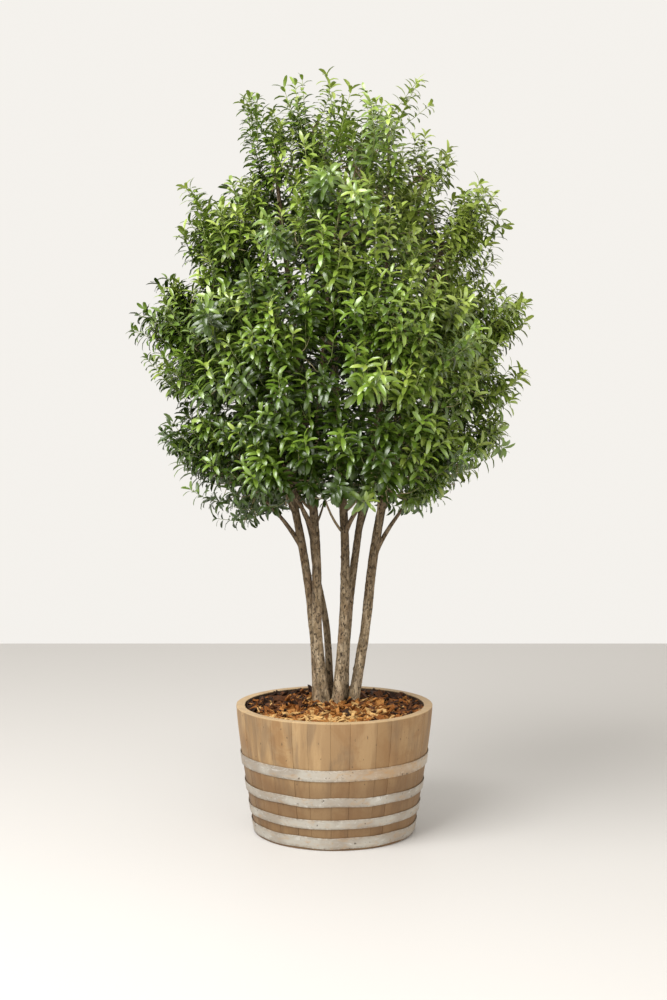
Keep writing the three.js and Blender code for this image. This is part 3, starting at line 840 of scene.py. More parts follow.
def even_points(step, rng):
    """Points spread evenly over the body of the crown, a grid shaken by up to half its step, with the mass
    that each belongs to: the one it lies deepest in, of those whose boundaries it keeps to. Fewer are kept
    deep inside and in the loose places between clumps."""
    axes = [np.arange(low + step / 2, high, step) for low, high in zip(BOX_LOW, BOX_HIGH)]
    points = np.stack(np.meshgrid(*axes, indexing="ij"), axis=-1).reshape(-1, 3)
    points = points + rng.uniform(-0.5, 0.5, points.shape) * step
    kept = clumping(points) * np.interp(exposure(points), *INNER_TWIGS)
    is_kept = rng.random(len(points)) < kept
    points = points[is_kept & (body_share(points) < 1) & (above_underside(points) > 0)]
    offset = points[:, None] - CENTRES[None]
    room = (DISTANCES[None] - np.einsum("pnk,nmk->pnm", offset, TOWARDS)).min(axis=2)
    depth = np.where(room < -INTERLACED, np.inf, np.linalg.norm(offset / RADII[None], axis=2))
    inside = depth.min(axis=1) < VALLEY_SHARE
    return points[inside], depth[inside].argmin(axis=1)


def bent_over(start, heading, goals, way, radii, mass):
    """Curves that leave along a heading, sag a little and rise to their goals. way says how far they follow
    the heading, run straight to the goal and sag, as shares of the span."""
    follow, straight, sag = way
    span = np.linalg.norm(goals - start, axis=1, keepdims=True)
    bend = start + heading * (span * follow) + (goals - start) * straight - UP * (span * sag)
    return curves(start, bend, goals, radii, mass)


def finer_twigs(spines, twigs, settings, rng):
    """Twigs to evenly spread points, each from the nearest place on its mass's spine or twigs, where a place
    whose heading runs to the point counts as nearer."""
    goals, mass = even_points(settings.sprig_step, rng)
    places, headings, owners = [], [], []
    for share in FINER_PLACES:
        places += [np.stack([spine.at(share) for spine in spines]), twigs.point(share)]
        headings += [np.stack([spine.heading(share) for spine in spines]), twigs.heading(share)]
        owners += [np.arange(len(spines)), twigs.mass]
    places, headings, owners = (np.concatenate(part) for part in (places, headings, owners))
    chosen = np.zeros(len(goals), int)
    for index in range(len(spines)):
        rows, own = np.flatnonzero(mass == index), np.flatnonzero(owners == index)
        way = goals[rows, None] - places[own][None]
        cost = np.linalg.norm(way, axis=2) - FINER_AHEAD * np.einsum("gpk,pk->gp", way, headings[own])
        chosen[rows] = own[cost.argmin(axis=1)]
    finer = bent_over(places[chosen], headings[chosen], goals, FINER_WAY, FINER_RADII, mass)
    return finer.chosen(finer.span() > SHORTEST_FINER)


def side_branches(rng):
    """Thin branches on each stem between the fork and the crown, a golden angle apart. They leave flat and
    curve upward into the crown."""
    parts = []
    rank = (np.arange(BRANCH_COUNT) + 0.5) / BRANCH_COUNT
    for limb in LIMBS[: len(STEMS)]:
        start = limb.path.at([limb.path.share_at_height(z) for z in lerp(*BRANCH_HEIGHTS, rank)])
        turn = math.atan2(start[0, 1], start[0, 0]) + (np.arange(BRANCH_COUNT) - BRANCH_TURN) * GOLDEN_ANGLE
        outward = level_turn(turn)
        span = rng.uniform(*BRANCH_LENGTHS, (BRANCH_COUNT, 1))
        bend, end = (start + (outward * out + UP * up) * span for out, up in (BRANCH_BEND, BRANCH_END))
        parts.append(curves(start, bend, end, BRANCH_RADII, limb.ends))
    return together(parts)


def leaning(points, rng):
    """Where shoots turn to: up, and away from the plant's middle, more so low down and near the outside.
    The fringe under the crown hangs."""
    level = points * [1, 1, 0]
    radius = np.linalg.norm(level, axis=1)
    outward = level / np.maximum(radius, MIDDLE_RADIUS)[:, None]
    out = np.interp(points[:, 2], *LEAN_OUT) * np.clip(radius / LEAN_RADIUS, 0, LEAN_MOST)
    up = np.interp(above_underside(points), *LEAN_UP)
    return unit(outward * out[:, None] + UP * up[:, None] + rng.normal(0, LEAN_CHANCE, points.shape))


def sprouts(parents, t, away, lengths, uses, shoot, rng):
    """Shoots from a place t on each parent. They leave along it, turned away by some share of a direction
    square to it, and curve over to the way that shoots lean there. Each is as long as a random share of a
    long shoot, or of the room ahead if that is less."""
    count = len(parents.start)
    along, start = parents.heading(t), parents.point(t)
    turns = rng.random(count) * FULL_TURN
    leaving = unit(along + away * turned_about(unit(np.cross(UP, along)), along, turns))
    direction = unit(SHOOT_FOLLOW * leaving + leaning(start, rng))
    room = room_ahead(start, direction, parents.mass, INTERLACED)
    room = np.where(body_share(start) < BODY_EDGE, np.maximum(room, VALLEY_ROOM), room)
    longest = rng.uniform(*np.multiply(lengths, shoot), count)
    span = np.minimum(longest, room * rng.uniform(*uses, count))
    end = start + direction * span[:, None]
    bend = start + unit(leaving + direction) * (span * SHOOT_BEND)[:, None]
    return curves(start, bend, end, SHOOT_RADII, parents.mass)


def limb_samples():
    """Points along every limb, with the limb's radius at each."""
    points, radii = [], []
    for limb in LIMBS:
        share = np.linspace(0, 1, int(limb.path.length / SAMPLE_STEP))
        points.append(limb.path.at(share))
        radii.append(limb.radius_at(share))
    return np.concatenate(points), np.concatenate(radii)


def nearest(points, others, less=0.0):
    """How far each point is from the nearest of the others, less their radii, a part at a time."""
    parts = np.array_split(points, max(len(points) // PART_SIZE, 1))
    return np.concatenate([
        (np.linalg.norm(part[:, None] - others[None], axis=2) - less).min(axis=1) for part in parts
    ])


def clear_of_limbs(growth):
    """Whether each curve keeps clear of every stem and bough past its first stretch."""
    limbs, radii = limb_samples()
    return np.all([nearest(growth.point(t), limbs, radii) > CLEAR_OF_LIMB for t in CLEAR_PLACES], axis=0)


def clear_of_sky(growth, stage):
    """Whether each curve keeps out of the lines of sight that the sky shows along: a point is carried on
    from the camera to the plane y = 0, and must lie outside each gap's circle there."""
    eye = np.array([0.0, -stage.distance, stage.eye])
    clear = np.ones(len(growth.start), bool)
    for t in SKY_PLACES:
        ray = growth.point(t) - eye
        seen = eye + ray * (stage.distance / ray[:, 1:2])
        for x, z, radius in SKY_GAPS:
            clear &= np.hypot(seen[:, 0] - x, seen[:, 2] - z) > radius
    return clear


def bears_growth(twigs, borne):
    """Whether anything starts on each twig, at one of the places that growth leaves twigs at."""
    places = (*FINER_PLACES, TWIG_SHOOT_PLACE)
    return np.any([nearest(twigs.point(t), borne) < TINY for t in places], axis=0)


def leaders(finer, settings, rng):
    """Long shoots in pairs, to points on the outer side of each mass's space, about the line that runs up
    and out from its centre. Each leaves the nearest end of a finer twig, counting a lower one as nearer, and
    rises at its tip."""
    parts = []
    for index, centre in enumerate(CENTRES):
        radius = np.linalg.norm(centre[:2])
        slope = np.interp(centre[2], *LEADER_SLOPES) * min(radius / SLOPE_RADII[1], 1)
        axis = unit(centre * [1, 1, 0] / max(radius, SLOPE_RADII[0]) * slope + UP)
        towards = unit(axis + rng.normal(0, LEADER_SPREAD, (settings.leaders, 3)))
        count = 2 * settings.leaders
        towards = unit(np.repeat(towards, 2, axis=0) + rng.normal(0, PAIR_SPREAD, (count, 3)))
        mass, middle = np.full(count, index), np.tile(centre, (count, 1))
        far = room_ahead(middle, towards, mass)
        open_far = np.minimum(shell_ahead(middle, towards, mass), box_ahead(middle, towards))
        goals = middle + towards * (far * rng.uniform(*LEADER_REACH, count))[:, None]
        own = np.flatnonzero(finer.mass == index)
        way = goals[:, None] - finer.end[own][None]
        chance = rng.normal(0, LEADER_CHANCE, way.shape[:2])
        cost = np.linalg.norm(way, axis=2) - LEADER_CLIMB * way[..., 2] + chance
        chosen = own[cost.argmin(axis=1)]
        start, heading = finer.end[chosen], finer.heading(1.0)[chosen]
        growth = bent_over(start, heading, goals, LEADER_WAY, LEADER_RADII, mass)
        is_kept = (far > OPEN_SHARE * open_far) & (body_share(goals) > LEADER_OUTSIDE)
        is_kept &= (growth.span() < LONGEST_LEADER) & (towards[:, 2] > LEAST_RISE)
        is_kept &= rng.random(count) < np.interp(goals[:, 2], *LEADER_THINNING)
        parts.append(growth.chosen(is_kept))
    return together(parts)


class Crown(NamedTuple):
    """The spines, the twigs in their two sizes, and the leafy shoots with how far out each one lies."""

    spines: list
    twigs: Growth
    finer: Growth
    shoots: Growth
    outer: np.ndarray


def grow_crown(settings, stage):
    """The whole crown by one rule: spines, twigs by the golden angle, side branches under them, finer twigs
    to evenly spread points, and shoots. Shoots are thinned deep inside, near the top and between clumps, a
    few leaders stand out as far as the crown's outside, and what meets a limb or hides a gap of sky is
    skipped. Twigs that end up bare are dropped."""
    rng = np.random.default_rng(CROWN_SEED)
    spines = mass_spines()
    twigs = first_twigs(spines, settings.twigs, rng)
    twigs = twigs.chosen(above_underside(twigs.end) > -TWIGS_UNDER)
    twigs = together([twigs, side_branches(rng)])
    twigs = twigs.chosen(clear_of_limbs(twigs))
    finer = finer_twigs(spines, twigs, settings, rng)
    finer = finer.chosen(clear_of_limbs(finer))
    tips = np.stack([spine.at(SPINE_TIP) for spine in spines], axis=1)
    tips = curves(*tips, SHOOT_RADII, np.arange(len(spines)))
    # Parents, the place on them, how far shoots turn away there, and shares of a long shoot and of the room
    kinds = (
        (finer, 1.0, 0.1, (0.7, 1.15), (0.70, 0.92)),
        (finer, 0.6, 1.0, (0.5, 0.9), (0.60, 0.88)),
        (twigs, TWIG_SHOOT_PLACE, 1.0, (0.5, 1.0), (0.60, 0.88)),
        (twigs, 1.0, 0.1, (0.6, 1.0), (0.65, 0.90)),
        (tips, 1.0, 0.1, (0.6, 1.0), (0.65, 0.90)),
    )
    shoots = together([sprouts(*kind, settings.shoot, rng) for kind in kinds])
    x, y, z = shoots.end.T
    is_within = np.hypot(x, y / BODY_DEPTH) < body_radius(z) + np.interp(z, *SHOOT_LIMITS)
    share = np.interp(exposure(shoots.end), *INNER_SHOOTS) * np.interp(z, *TOP_THINNING)
    shoots = shoots.chosen(is_within & (rng.random(len(z)) < share * clumping(shoots.end)))
    shoots = together([shoots, leaders(finer, settings, rng)])
    shoots = shoots.chosen((shoots.span() > SHORTEST_SHOOT) & clear_of_limbs(shoots))
    shoots = shoots.chosen(clear_of_sky(shoots, stage) & (above_underside(shoots.end) > -SHOOTS_UNDER))
    twigs = twigs.chosen(bears_growth(twigs, np.concatenate([shoots.start, finer.start])))
    return Crown(spines, twigs, finer, shoots, body_share(shoots.end))


# Leaves

# Shares of a leaf's length at its foot, its three pairs of edge points and its tip, and how wide it is there
LEAF_STATIONS = np.array([0.0, 0.22, 0.52, 0.83, 1.0])
LEAF_HALF_WIDTHS = np.array([0.70, 1.0, 0.72])
LEAF_POINTS = 11
LEAF_TRIANGLES = [[0, 2, 1], [0, 3, 2], [8, 10, 7], [9, 10, 8]]
LEAF_QUADS = [[2, 5, 4, 1], [3, 6, 5, 2], [5, 8, 7, 4], [6, 9, 8, 5]]

# The share of shoots that each tint gets, and the gloss of each
TINT_SHARES = (0.20, 0.25, 0.28, 0.21, 0.055, 0.005)
LEAF_GLOSS = {"inner": 0.6, "deep": 0.7, "grown": 0.85, "fresh": 0.85, "young": 0.8, "pale": 0.7}
# What a shoot's brightness counts, which paints light and shade into the leaves' tints: how far out, how high
# over a middle height, how far right and how far to either side, where more light falls, a ripple with its
# wave and seed, chance, and what a leader is darker by, as painted shade on leaves seen against the sky
PAINTED_LIGHT_OUT, PAINTED_LIGHT_UP, BRIGHT_MIDDLE, PAINTED_LIGHT_RIGHT, PAINTED_LIGHT_SIDES = 0.7, 0.40, 1.8, 0.30, 0.42
BRIGHT_RIPPLE, BRIGHT_WAVE, BRIGHT_SEED, BRIGHT_CHANCE, LEADER_PAINTED_SHADE = 0.06, 0.32, 9, 0.08, 0.20
# A tuft's leaves are a tint paler, this share of them two, and a shoot's lower leaves may be one darker
TUFT_PALER, FOOT_DARKER = 0.2, 0.75

# Pairs along a shoot at most, the share of the pair step on leaders, and the length that a tuft takes when
# pairs are counted and when they are placed
MOST_PAIRS, LEADER_STEP, TUFT_LENGTH, TUFT_SPACE = 28, 0.95, 0.020, 0.025
# The first place on a shoot that bears leaves, and the tuft's pairs, their step and the last pair's bend
FIRST_PLACE, TUFT_PAIRS, TUFT_STEP, LAST_BEND = 0.04, 3, 0.007, 0.8
# How widely leaves stand out, in radians, along a shoot and from the first pair of its tuft to the last
SPREADS = (0, 0.8, 0.9, 1.0), (1.0, 0.92, 0.82, 0.45)
TUFT_SPREADS = (1.0, 0.42)
# Shares of the leaf length, along a shoot, by height and by how far out the shoot lies
SIZES_ALONG = (0, 0.3, 0.8, 1.0), (0.80, 1.0, 1.0, 0.80)
SIZES_BY_HEIGHT = (1.15, 1.3, 1.6, 2.3), (0.90, 1.06, 1.06, 0.98)
SIZES_OUTWARD = (0.6, 0.9), (0.82, 1.0)
# Ranges of chance for shoots and leaves, the leaf length that has the middling width, how far a leaf's place,
# turn, spread and face vary, and how much its face turns up
VIGOUR, LEAF_SIZES, LEAF_BENDS, LEAF_FOLDS = (0.82, 1.15), (0.85, 1.1), (0.90, 1.50), (0.14, 0.42)
LEAF_WIDTHS, MIDDLING_LEAF = (0.88, 1.12), 0.058
PLACE_CHANCE, TURN_CHANCE, SPREAD_CHANCE, FACE_CHANCE, FACE_UP = 0.008, 0.16, 0.1, 0.28, 0.35


def leaf_faces(count):
    """A leaf's faces: two at its foot, two at its tip and a pair of four-sided ones between stations."""
    start = np.arange(count)[:, None, None] * LEAF_POINTS
    parts = (np.array(part) for part in (LEAF_QUADS, LEAF_TRIANGLES))
    return [(part[None] + start).reshape(-1, part.shape[1]) for part in parts]


def leaf_points(roots, along, face, sizes, widths, bends, folds):
    """N leaves. The midrib turns down by bend over its length, so at share u it is root + size * (along *
    sin(bend u) - face * (1 - cos(bend u))) / bend. The halves stand off it by half the width there, and are
    folded up by fold times that."""
    face = unit(face - along * (face * along).sum(axis=1, keepdims=True))
    side = np.cross(face, along)
    turn = bends[:, None] * LEAF_STATIONS
    sine, cosine = np.sin(turn)[..., None], np.cos(turn)[..., None]
    run = (sizes / bends)[:, None, None]
    midrib = roots[:, None] + run * (along[:, None] * sine - face[:, None] * (1 - cosine))
    raised = face[:, None] * cosine[:, 1:4] + along[:, None] * sine[:, 1:4]
    half = (sizes * widths / 2)[:, None, None] * LEAF_HALF_WIDTHS[None, :, None]
    up = raised * half * folds[:, None, None]
    left = midrib[:, 1:4] + side[:, None] * half + up
    right = midrib[:, 1:4] - side[:, None] * half + up
    middle = np.stack([left, midrib[:, 1:4], right], axis=2).reshape(len(roots), LEAF_POINTS - 2, 3)
    return np.concatenate([midrib[:, :1], middle, midrib[:, 4:]], axis=1)


def spray_tints(crown, is_leader, rng):
    """Each shoot's tint, with painted light and shade. Shoots are ranked by brightness, a weighted sum of how
    far out, how high and how far to the right or to either side they lie, a ripple and chance, less a
    leader's painted shade, and dealt out by the tints' shares, so that lit shoots get the paler greens and
    shaded ones the darker."""
    x, z = crown.shoots.end[:, 0], crown.shoots.end[:, 2]
    painted_light_and_tone = PAINTED_LIGHT_OUT * np.minimum(crown.outer, 1.0) + PAINTED_LIGHT_UP * (z - BRIGHT_MIDDLE)
    # painted light on the right of the crown and at both sides
    painted_light_and_tone = painted_light_and_tone + PAINTED_LIGHT_RIGHT * x + PAINTED_LIGHT_SIDES * np.abs(x)
    painted_light_and_tone = painted_light_and_tone + BRIGHT_RIPPLE * ripple(crown.shoots.end, BRIGHT_WAVE, BRIGHT_SEED)
    # painted shade on leaders, which stand against the sky
    painted_light_and_tone = painted_light_and_tone + rng.normal(0, BRIGHT_CHANCE, len(x)) - LEADER_PAINTED_SHADE * is_leader
    rank = np.argsort(np.argsort(painted_light_and_tone)) / len(x)
    return np.searchsorted(np.cumsum(TINT_SHARES)[:-1], rank)


def grow_leaves(crown, settings):
    """The points of every leaf, and its tint. Opposite pairs stand along each shoot, each pair a quarter
    turn on from the last, and a tuft at its tip. They stand out widely at the shoot's foot and close up
    towards its tip. Lower leaves are older and may be a tint darker, and the tuft is a tint paler."""
    rng = np.random.default_rng(LEAF_SEED)
    shoots = crown.shoots
    count = len(shoots.start)
    span = shoots.span()
    is_leader = shoots.radii[:, 0] > SHOOT_RADII[0]
    step = settings.pair_step * np.where(is_leader, LEADER_STEP, 1.0)
    pairs = np.clip(np.round((span - TUFT_LENGTH) / step), 1, MOST_PAIRS).astype(int)
    vigour = rng.uniform(*VIGOUR, count)
    tint = spray_tints(crown, is_leader, rng)

    parts = []
    for pair in range(MOST_PAIRS + TUFT_PAIRS):
        in_tuft = pair - MOST_PAIRS
        is_tuft = in_tuft >= 0
        if is_tuft:
            rows, order = np.arange(count), pairs + in_tuft
            t = 1 - (TUFT_PAIRS - 1 - in_tuft) * TUFT_STEP / span
        else:
            rows, order = np.flatnonzero(pair < pairs), pair
            t = (pair + 0.5) / pairs[rows] * (1 - TUFT_SPACE / span[rows])
        number = len(rows)
        t = np.clip(t + rng.normal(0, PLACE_CHANCE, number), FIRST_PLACE, 1)
        part, own = shoots.chosen(rows), tint[rows]
        axis, root = part.heading(t), part.point(t)
        square = unit(np.cross(axis, UP))
        profile = np.interp(t, *SIZES_ALONG) * np.interp(root[:, 2], *SIZES_BY_HEIGHT)
        profile = profile * np.interp(crown.outer[rows], *SIZES_OUTWARD)
        for turn in (0, math.pi):
            turns = order * math.pi / 2 + rows * GOLDEN_ANGLE + turn + rng.normal(0, TURN_CHANCE, number)
            outward = turned_about(square, axis, turns)
            # A tuft's leaves keep the second of two draws
            chance = rng.normal(0, SPREAD_CHANCE, (1 + is_tuft, number))[-1]
            wide = lerp(*TUFT_SPREADS, in_tuft / (TUFT_PAIRS - 1)) if is_tuft else np.interp(t, *SPREADS)
            spread = (wide + chance)[:, None]
            along = unit(axis * np.cos(spread) + outward * np.sin(spread))
            face = axis + UP * FACE_UP + rng.normal(0, FACE_CHANCE, (number, 3))
            sizes = settings.leaf * profile * vigour[rows] * rng.uniform(*LEAF_SIZES, number)
            bends = rng.uniform(*LEAF_BENDS, number) * (LAST_BEND if in_tuft == TUFT_PAIRS - 1 else 1)
            chance = rng.random(number)
            if is_tuft:
                tints = own + (own > 0) + ((own > 1) & (chance < TUFT_PALER))
            else:
                tints = own - ((own > 0) & (chance < FOOT_DARKER - t))
            parts.append((root, along, face, sizes, bends, tints))
    roots, along, face, sizes, bends, tints = (np.concatenate(part) for part in zip(*parts))
    widths = settings.leaf_width * np.sqrt(MIDDLING_LEAF / sizes) * rng.uniform(*LEAF_WIDTHS, len(roots))
    folds = rng.uniform(*LEAF_FOLDS, len(roots))
    points = leaf_points(roots, along, face, sizes, widths, bends, folds)
    inside = ((points > BOX_LOW) & (points < BOX_HIGH)).all(axis=(1, 2))
    return points[inside], np.minimum(tints[inside], len(TINT_SHARES) - 1)


# Materials


class Recipe:
    """A new material, with short ways to add and join its nodes. A colour may be given as a hex code."""

    def __init__(self, name, roughness, metallic=0.0, specular=0.5):
        self.material = bpy.data.materials.new(name)
        self.material.use_nodes = True
        self.tree = self.material.node_tree
        self.shader = self.tree.nodes["Principled BSDF"]
        values = {"Roughness": roughness, "Metallic": metallic, "Specular IOR Level": specular}
        for socket, value in values.items():
            self.shader.inputs[socket].default_value = value
        self.place = self.tree.nodes.new("ShaderNodeTexCoord").outputs["Object"]

    def link(self, value, socket):
        """Joins an output to a socket, or sets the socket to a number, vector or colour."""
        if isinstance(value, bpy.types.NodeSocket):
            self.tree.links.new(value, socket)
        elif socket.type == "RGBA":
            socket.default_value = (*(srgb(value) if isinstance(value, str) else value), 1)
        else:
            socket.default_value = value

    def node(self, kind, inputs, **settings):
        """A new node with these settings, and its inputs joined or set."""
        node = self.tree.nodes.new(f"ShaderNode{kind}")
        for name, value in settings.items():
            setattr(node, name, value)
        for socket, value in inputs.items():
            self.link(value, node.inputs[socket])
        return node

    def noise(self, scale, detail, rough, distortion=0.0, shift=(0, 0, 0)):
        """Cloudy noise from 0 to 1, of the place times a scale along each axis plus a shift."""
        place = self.node("VectorMath", {0: self.place, 1: scale, 2: shift}, operation="MULTIPLY_ADD")
        inputs = {"Vector": place.outputs[0], "Scale": 1.0, "Detail": detail, "Roughness": rough}
        return self.node("TexNoise", {**inputs, "Distortion": distortion}).outputs["Fac"]

    def steps(self, value, low, high):
        """0 below low and 1 above high, with a smooth rise between."""
        inputs = {"Value": value, "From Min": low, "From Max": high}
        return self.node("MapRange", inputs, interpolation_type="SMOOTHSTEP").outputs["Result"]

    def mix(self, share, a, b):
        """Colour a at share 0 and colour b at share 1."""
        return self.node("Mix", {0: share, 6: a, 7: b}, data_type="RGBA").outputs[2]

    def scaled(self, value, by, plus=0.0):
        """A number times one number plus another."""
        return self.node("Math", {0: value, 1: by, 2: plus}, operation="MULTIPLY_ADD").outputs[0]

    def layered(self, base, *layers):
        """A colour with tints laid over it in turn. Each layer gives a value, where its rise from 0 to 1
        starts and ends, how much of the tint lies over the rest at 1, and the tint."""
        for value, low, high, most, tint in layers:
            base = self.mix(self.scaled(self.steps(value, low, high), most), base, tint)
        return base

    def mark(self, name):
        """A number that the mesh keeps for each point."""
        return self.node("Attribute", {}, attribute_name=name).outputs["Fac"]

    def part_of_place(self, axis):
        """One coordinate of the place."""
        return self.node("SeparateXYZ", {0: self.place}).outputs[axis]

    def bump(self, height, distance, strength=1.0):
        """Small relief on the shader's normal."""
        bump = self.node("Bump", {"Strength": strength, "Distance": distance, "Height": height})
        self.link(bump.outputs[0], self.shader.inputs["Normal"])

    def finish(self, base, rough=None):
        """Joins the colour, and a roughness where it varies, and gives the material."""
        self.link(base, self.shader.inputs["Base Color"])
        if rough is not None:
            self.link(rough, self.shader.inputs["Roughness"])
        return self.material


def oak_material(settings):
    """Weathered oak: each stave has its own tone, with long grain, grey smudges that run down it, brown
    clouds, dark specks, painted shade on the right, wood that is darker low down, and a pale worn rim."""
    r = Recipe("weathered_oak", 0.72)
    tone = r.mark("tone")
    shift = r.scaled(tone, 37.0)
    grain = r.noise((150, 150, 5), 5.0, 0.62, 0.4, shift)
    streak = r.noise((24, 24, 1.3), 3.0, 0.5, 0.2, shift)
    smudge = r.noise((15, 15, 3.0), 4.0, 0.6, 0.5)
    cloud = r.noise((8, 8, 7), 4.0, 0.62, 0.6)
    specks = r.noise((75, 75, 48), 2.0, 0.5, 0.0, shift)
    right, below = r.part_of_place("X"), r.scaled(r.part_of_place("Z"), -1.0)
    wood = r.layered(
        r.mix(tone, settings.oak_mid, settings.oak_light),
        (streak, 0.42, 0.60, 0.36, settings.oak_dark),
        (smudge, 0.48, 0.62, 0.42, "#62513f"),
        (cloud, 0.46, 0.62, 0.48, "#80592f"),
        (grain, 0.50, 0.78, 0.30, "#7d5a34"),
        (specks, 0.69, 0.75, 0.75, "#2e2014"),
        # painted shade: the staves darken towards the right, away from the light
        (right, -0.22, 0.28, 0.36, "#7c5c38"),
        # darker towards the bottom of the barrel
        (below, -0.29, -0.20, 0.58, "#604529"),
    )
    wood = r.mix(r.scaled(r.mark("lip"), 0.45), wood, "#c9ae84")
    # painted shade over the inner part of the staves, where the barrel's inside lies in shadow
    wood = r.mix(r.mark("inside"), wood, "#3b2a1a")
    r.bump(r.scaled(grain, 1.0, streak), 0.0012, 0.55)
    return r.finish(wood, r.scaled(grain, 0.25, 0.5))


def steel_material(settings):
    """Galvanised steel gone dull and chalky, with rusty clouds, small dark specks and grime at the edges."""
    r = Recipe("hoop_steel", 0.58, metallic=0.25)
    broad = r.noise((7, 7, 9), 3.0, 0.55, 0.4)
    cloud = r.noise((24, 24, 52), 5.0, 0.66, 0.6)
    fine = r.noise((90, 90, 120), 4.0, 0.6)
    specks = r.noise((80, 80, 70), 3.0, 0.55)
    worn = r.mix(r.steps(broad, 0.38, 0.64), settings.steel, "#9c9285")
    worn = r.layered(worn, (cloud, 0.42, 0.32, 0.5, "#cfccc5"))
    stain = r.scaled(r.steps(cloud, 0.50, 0.66), 0.5, r.mark("tone"))
    worn = r.mix(r.scaled(stain, 0.62), worn, "#b08a5a")
    worn = r.layered(worn, (cloud, 0.63, 0.74, 0.45, settings.rust), (specks, 0.66, 0.72, 0.8, "#3a2c1e"))
    dirt = r.scaled(r.mark("edge"), r.scaled(r.steps(fine, 0.35, 0.65), 0.6))
    worn = r.mix(dirt, worn, "#6a5a48")
    r.bump(r.scaled(fine, 1.0, cloud), 0.0008, 0.5)
    return r.finish(worn, r.scaled(fine, 0.35, 0.38))


def bark_material(settings):
    """Bark: grey-brown and pale patches, a slight red-brown tint, darker higher up, with dark flecks, dots
    and furrows that follow the relief."""
    r = Recipe("osmanthus_bark", 0.88, specular=0.3)
    patch = r.noise((60, 60, 26), 4.0, 0.62, 0.5)
    flecks = r.noise((170, 170, 75), 3.0, 0.6, 0.3)
    dots = r.noise((110, 110, 85), 2.0, 0.5)
    tint = r.noise((16, 16, 7), 3.0, 0.5)
    bark = r.layered(
        r.mix(r.steps(patch, 0.38, 0.64), settings.bark, settings.bark_pale),
        (tint, 0.48, 0.70, 0.45, "#7a5b3f"),
        (r.part_of_place("Z"), 0.60, 1.12, 0.6, "#4f3c25"),
        (flecks, 0.51, 0.62, 0.75, settings.bark_dark),
        (dots, 0.60, 0.66, 0.85, "#261c12"),
    )
    bark = r.mix(r.mark("furrow"), bark, settings.bark_dark)
    r.bump(r.scaled(flecks, 1.0, patch), 0.0014, 0.7)
    return r.finish(bark)


def leaf_material(name, tint, gloss):
    """One plain green for a spray's leaves, a little lighter and darker from place to place, with the gloss
    of a leathery leaf."""
    r = Recipe(name, 0.32, specular=gloss)
    cloud = r.noise((8, 8, 8), 2.0, 0.5)
    darker, lighter = (tuple(min(v * k, 1) for v in tint) for k in (0.78, 1.22))
    return r.finish(r.mix(r.steps(cloud, 0.3, 0.7), darker, lighter))


def grained_material(name, tint, dark, scale, roughness, depth):
    """A tint that darkens where noise is high, with relief from the same noise."""
    r = Recipe(name, roughness, specular=0.25)
    cloud = r.noise(scale, 4.0, 0.6, 0.3)
    r.bump(cloud, depth)
    return r.finish(r.mix(r.steps(cloud, 0.35, 0.75), tint, dark))


# The barrel

STAVES, STAVE_WIDTHS, STAVE_SEED = 28, (0.7, 1.3), 5
# Staves are sunk a little into the imported ring, unevenly, and marked pale over a narrow lip at the rim and
# dark over the inner part of their thickness, which is painted shade inside the barrel
STAVE_SUNK, STAVE_UNEVEN = 0.0009, 0.0005
LIP, INSIDE_SHADE_SHARE, INSIDE_SHADE_FADE = 0.004, 0.35, 0.2
HEAD_BOARDS, BOARD_GAP, BOARD_STEPS, BOARD_EDGE, BOARD_SHRINK = 6, 0.0008, 24, 0.0015, 0.97
CORNER_STEPS, BOW_STEPS, STAVE_RINGS, STAVE_FLATS = 4, 5, 15, 5


def barrel_radius(z):
    """The outer radius at a height: rim + (foot - rim) * depth ** bulge, where depth runs from 0 to 1."""
    depth = np.clip((BARREL_HEIGHT - z) / BARREL_HEIGHT, 0, 1)
    return lerp(RIM_RADIUS, FOOT_RADIUS, depth**BARREL_BULGE)


def rounded_section(flats):
    """A rounded rectangle, counted from the right-hand upper corner round to the left. The first two rows
    say which corner a point goes with, from -1 to 1 across and -1 or 1 through, and the last two where it
    lies on that corner's circle of radius 1."""
    quarter = np.linspace(0, math.pi / 2, CORNER_STEPS)
    rows = []
    for turn, (x, y) in enumerate(((1, 1), (-1, 1), (-1, -1), (1, -1))):
        angle = quarter + turn * math.pi / 2
        rows += [(x, y, math.cos(a), math.sin(a)) for a in angle]
        if turn in (0, 2):
            rows += [(x * share, y, 0, y) for share in np.linspace(1, -1, flats + 2)[1:-1]]
    return np.array(rows).T


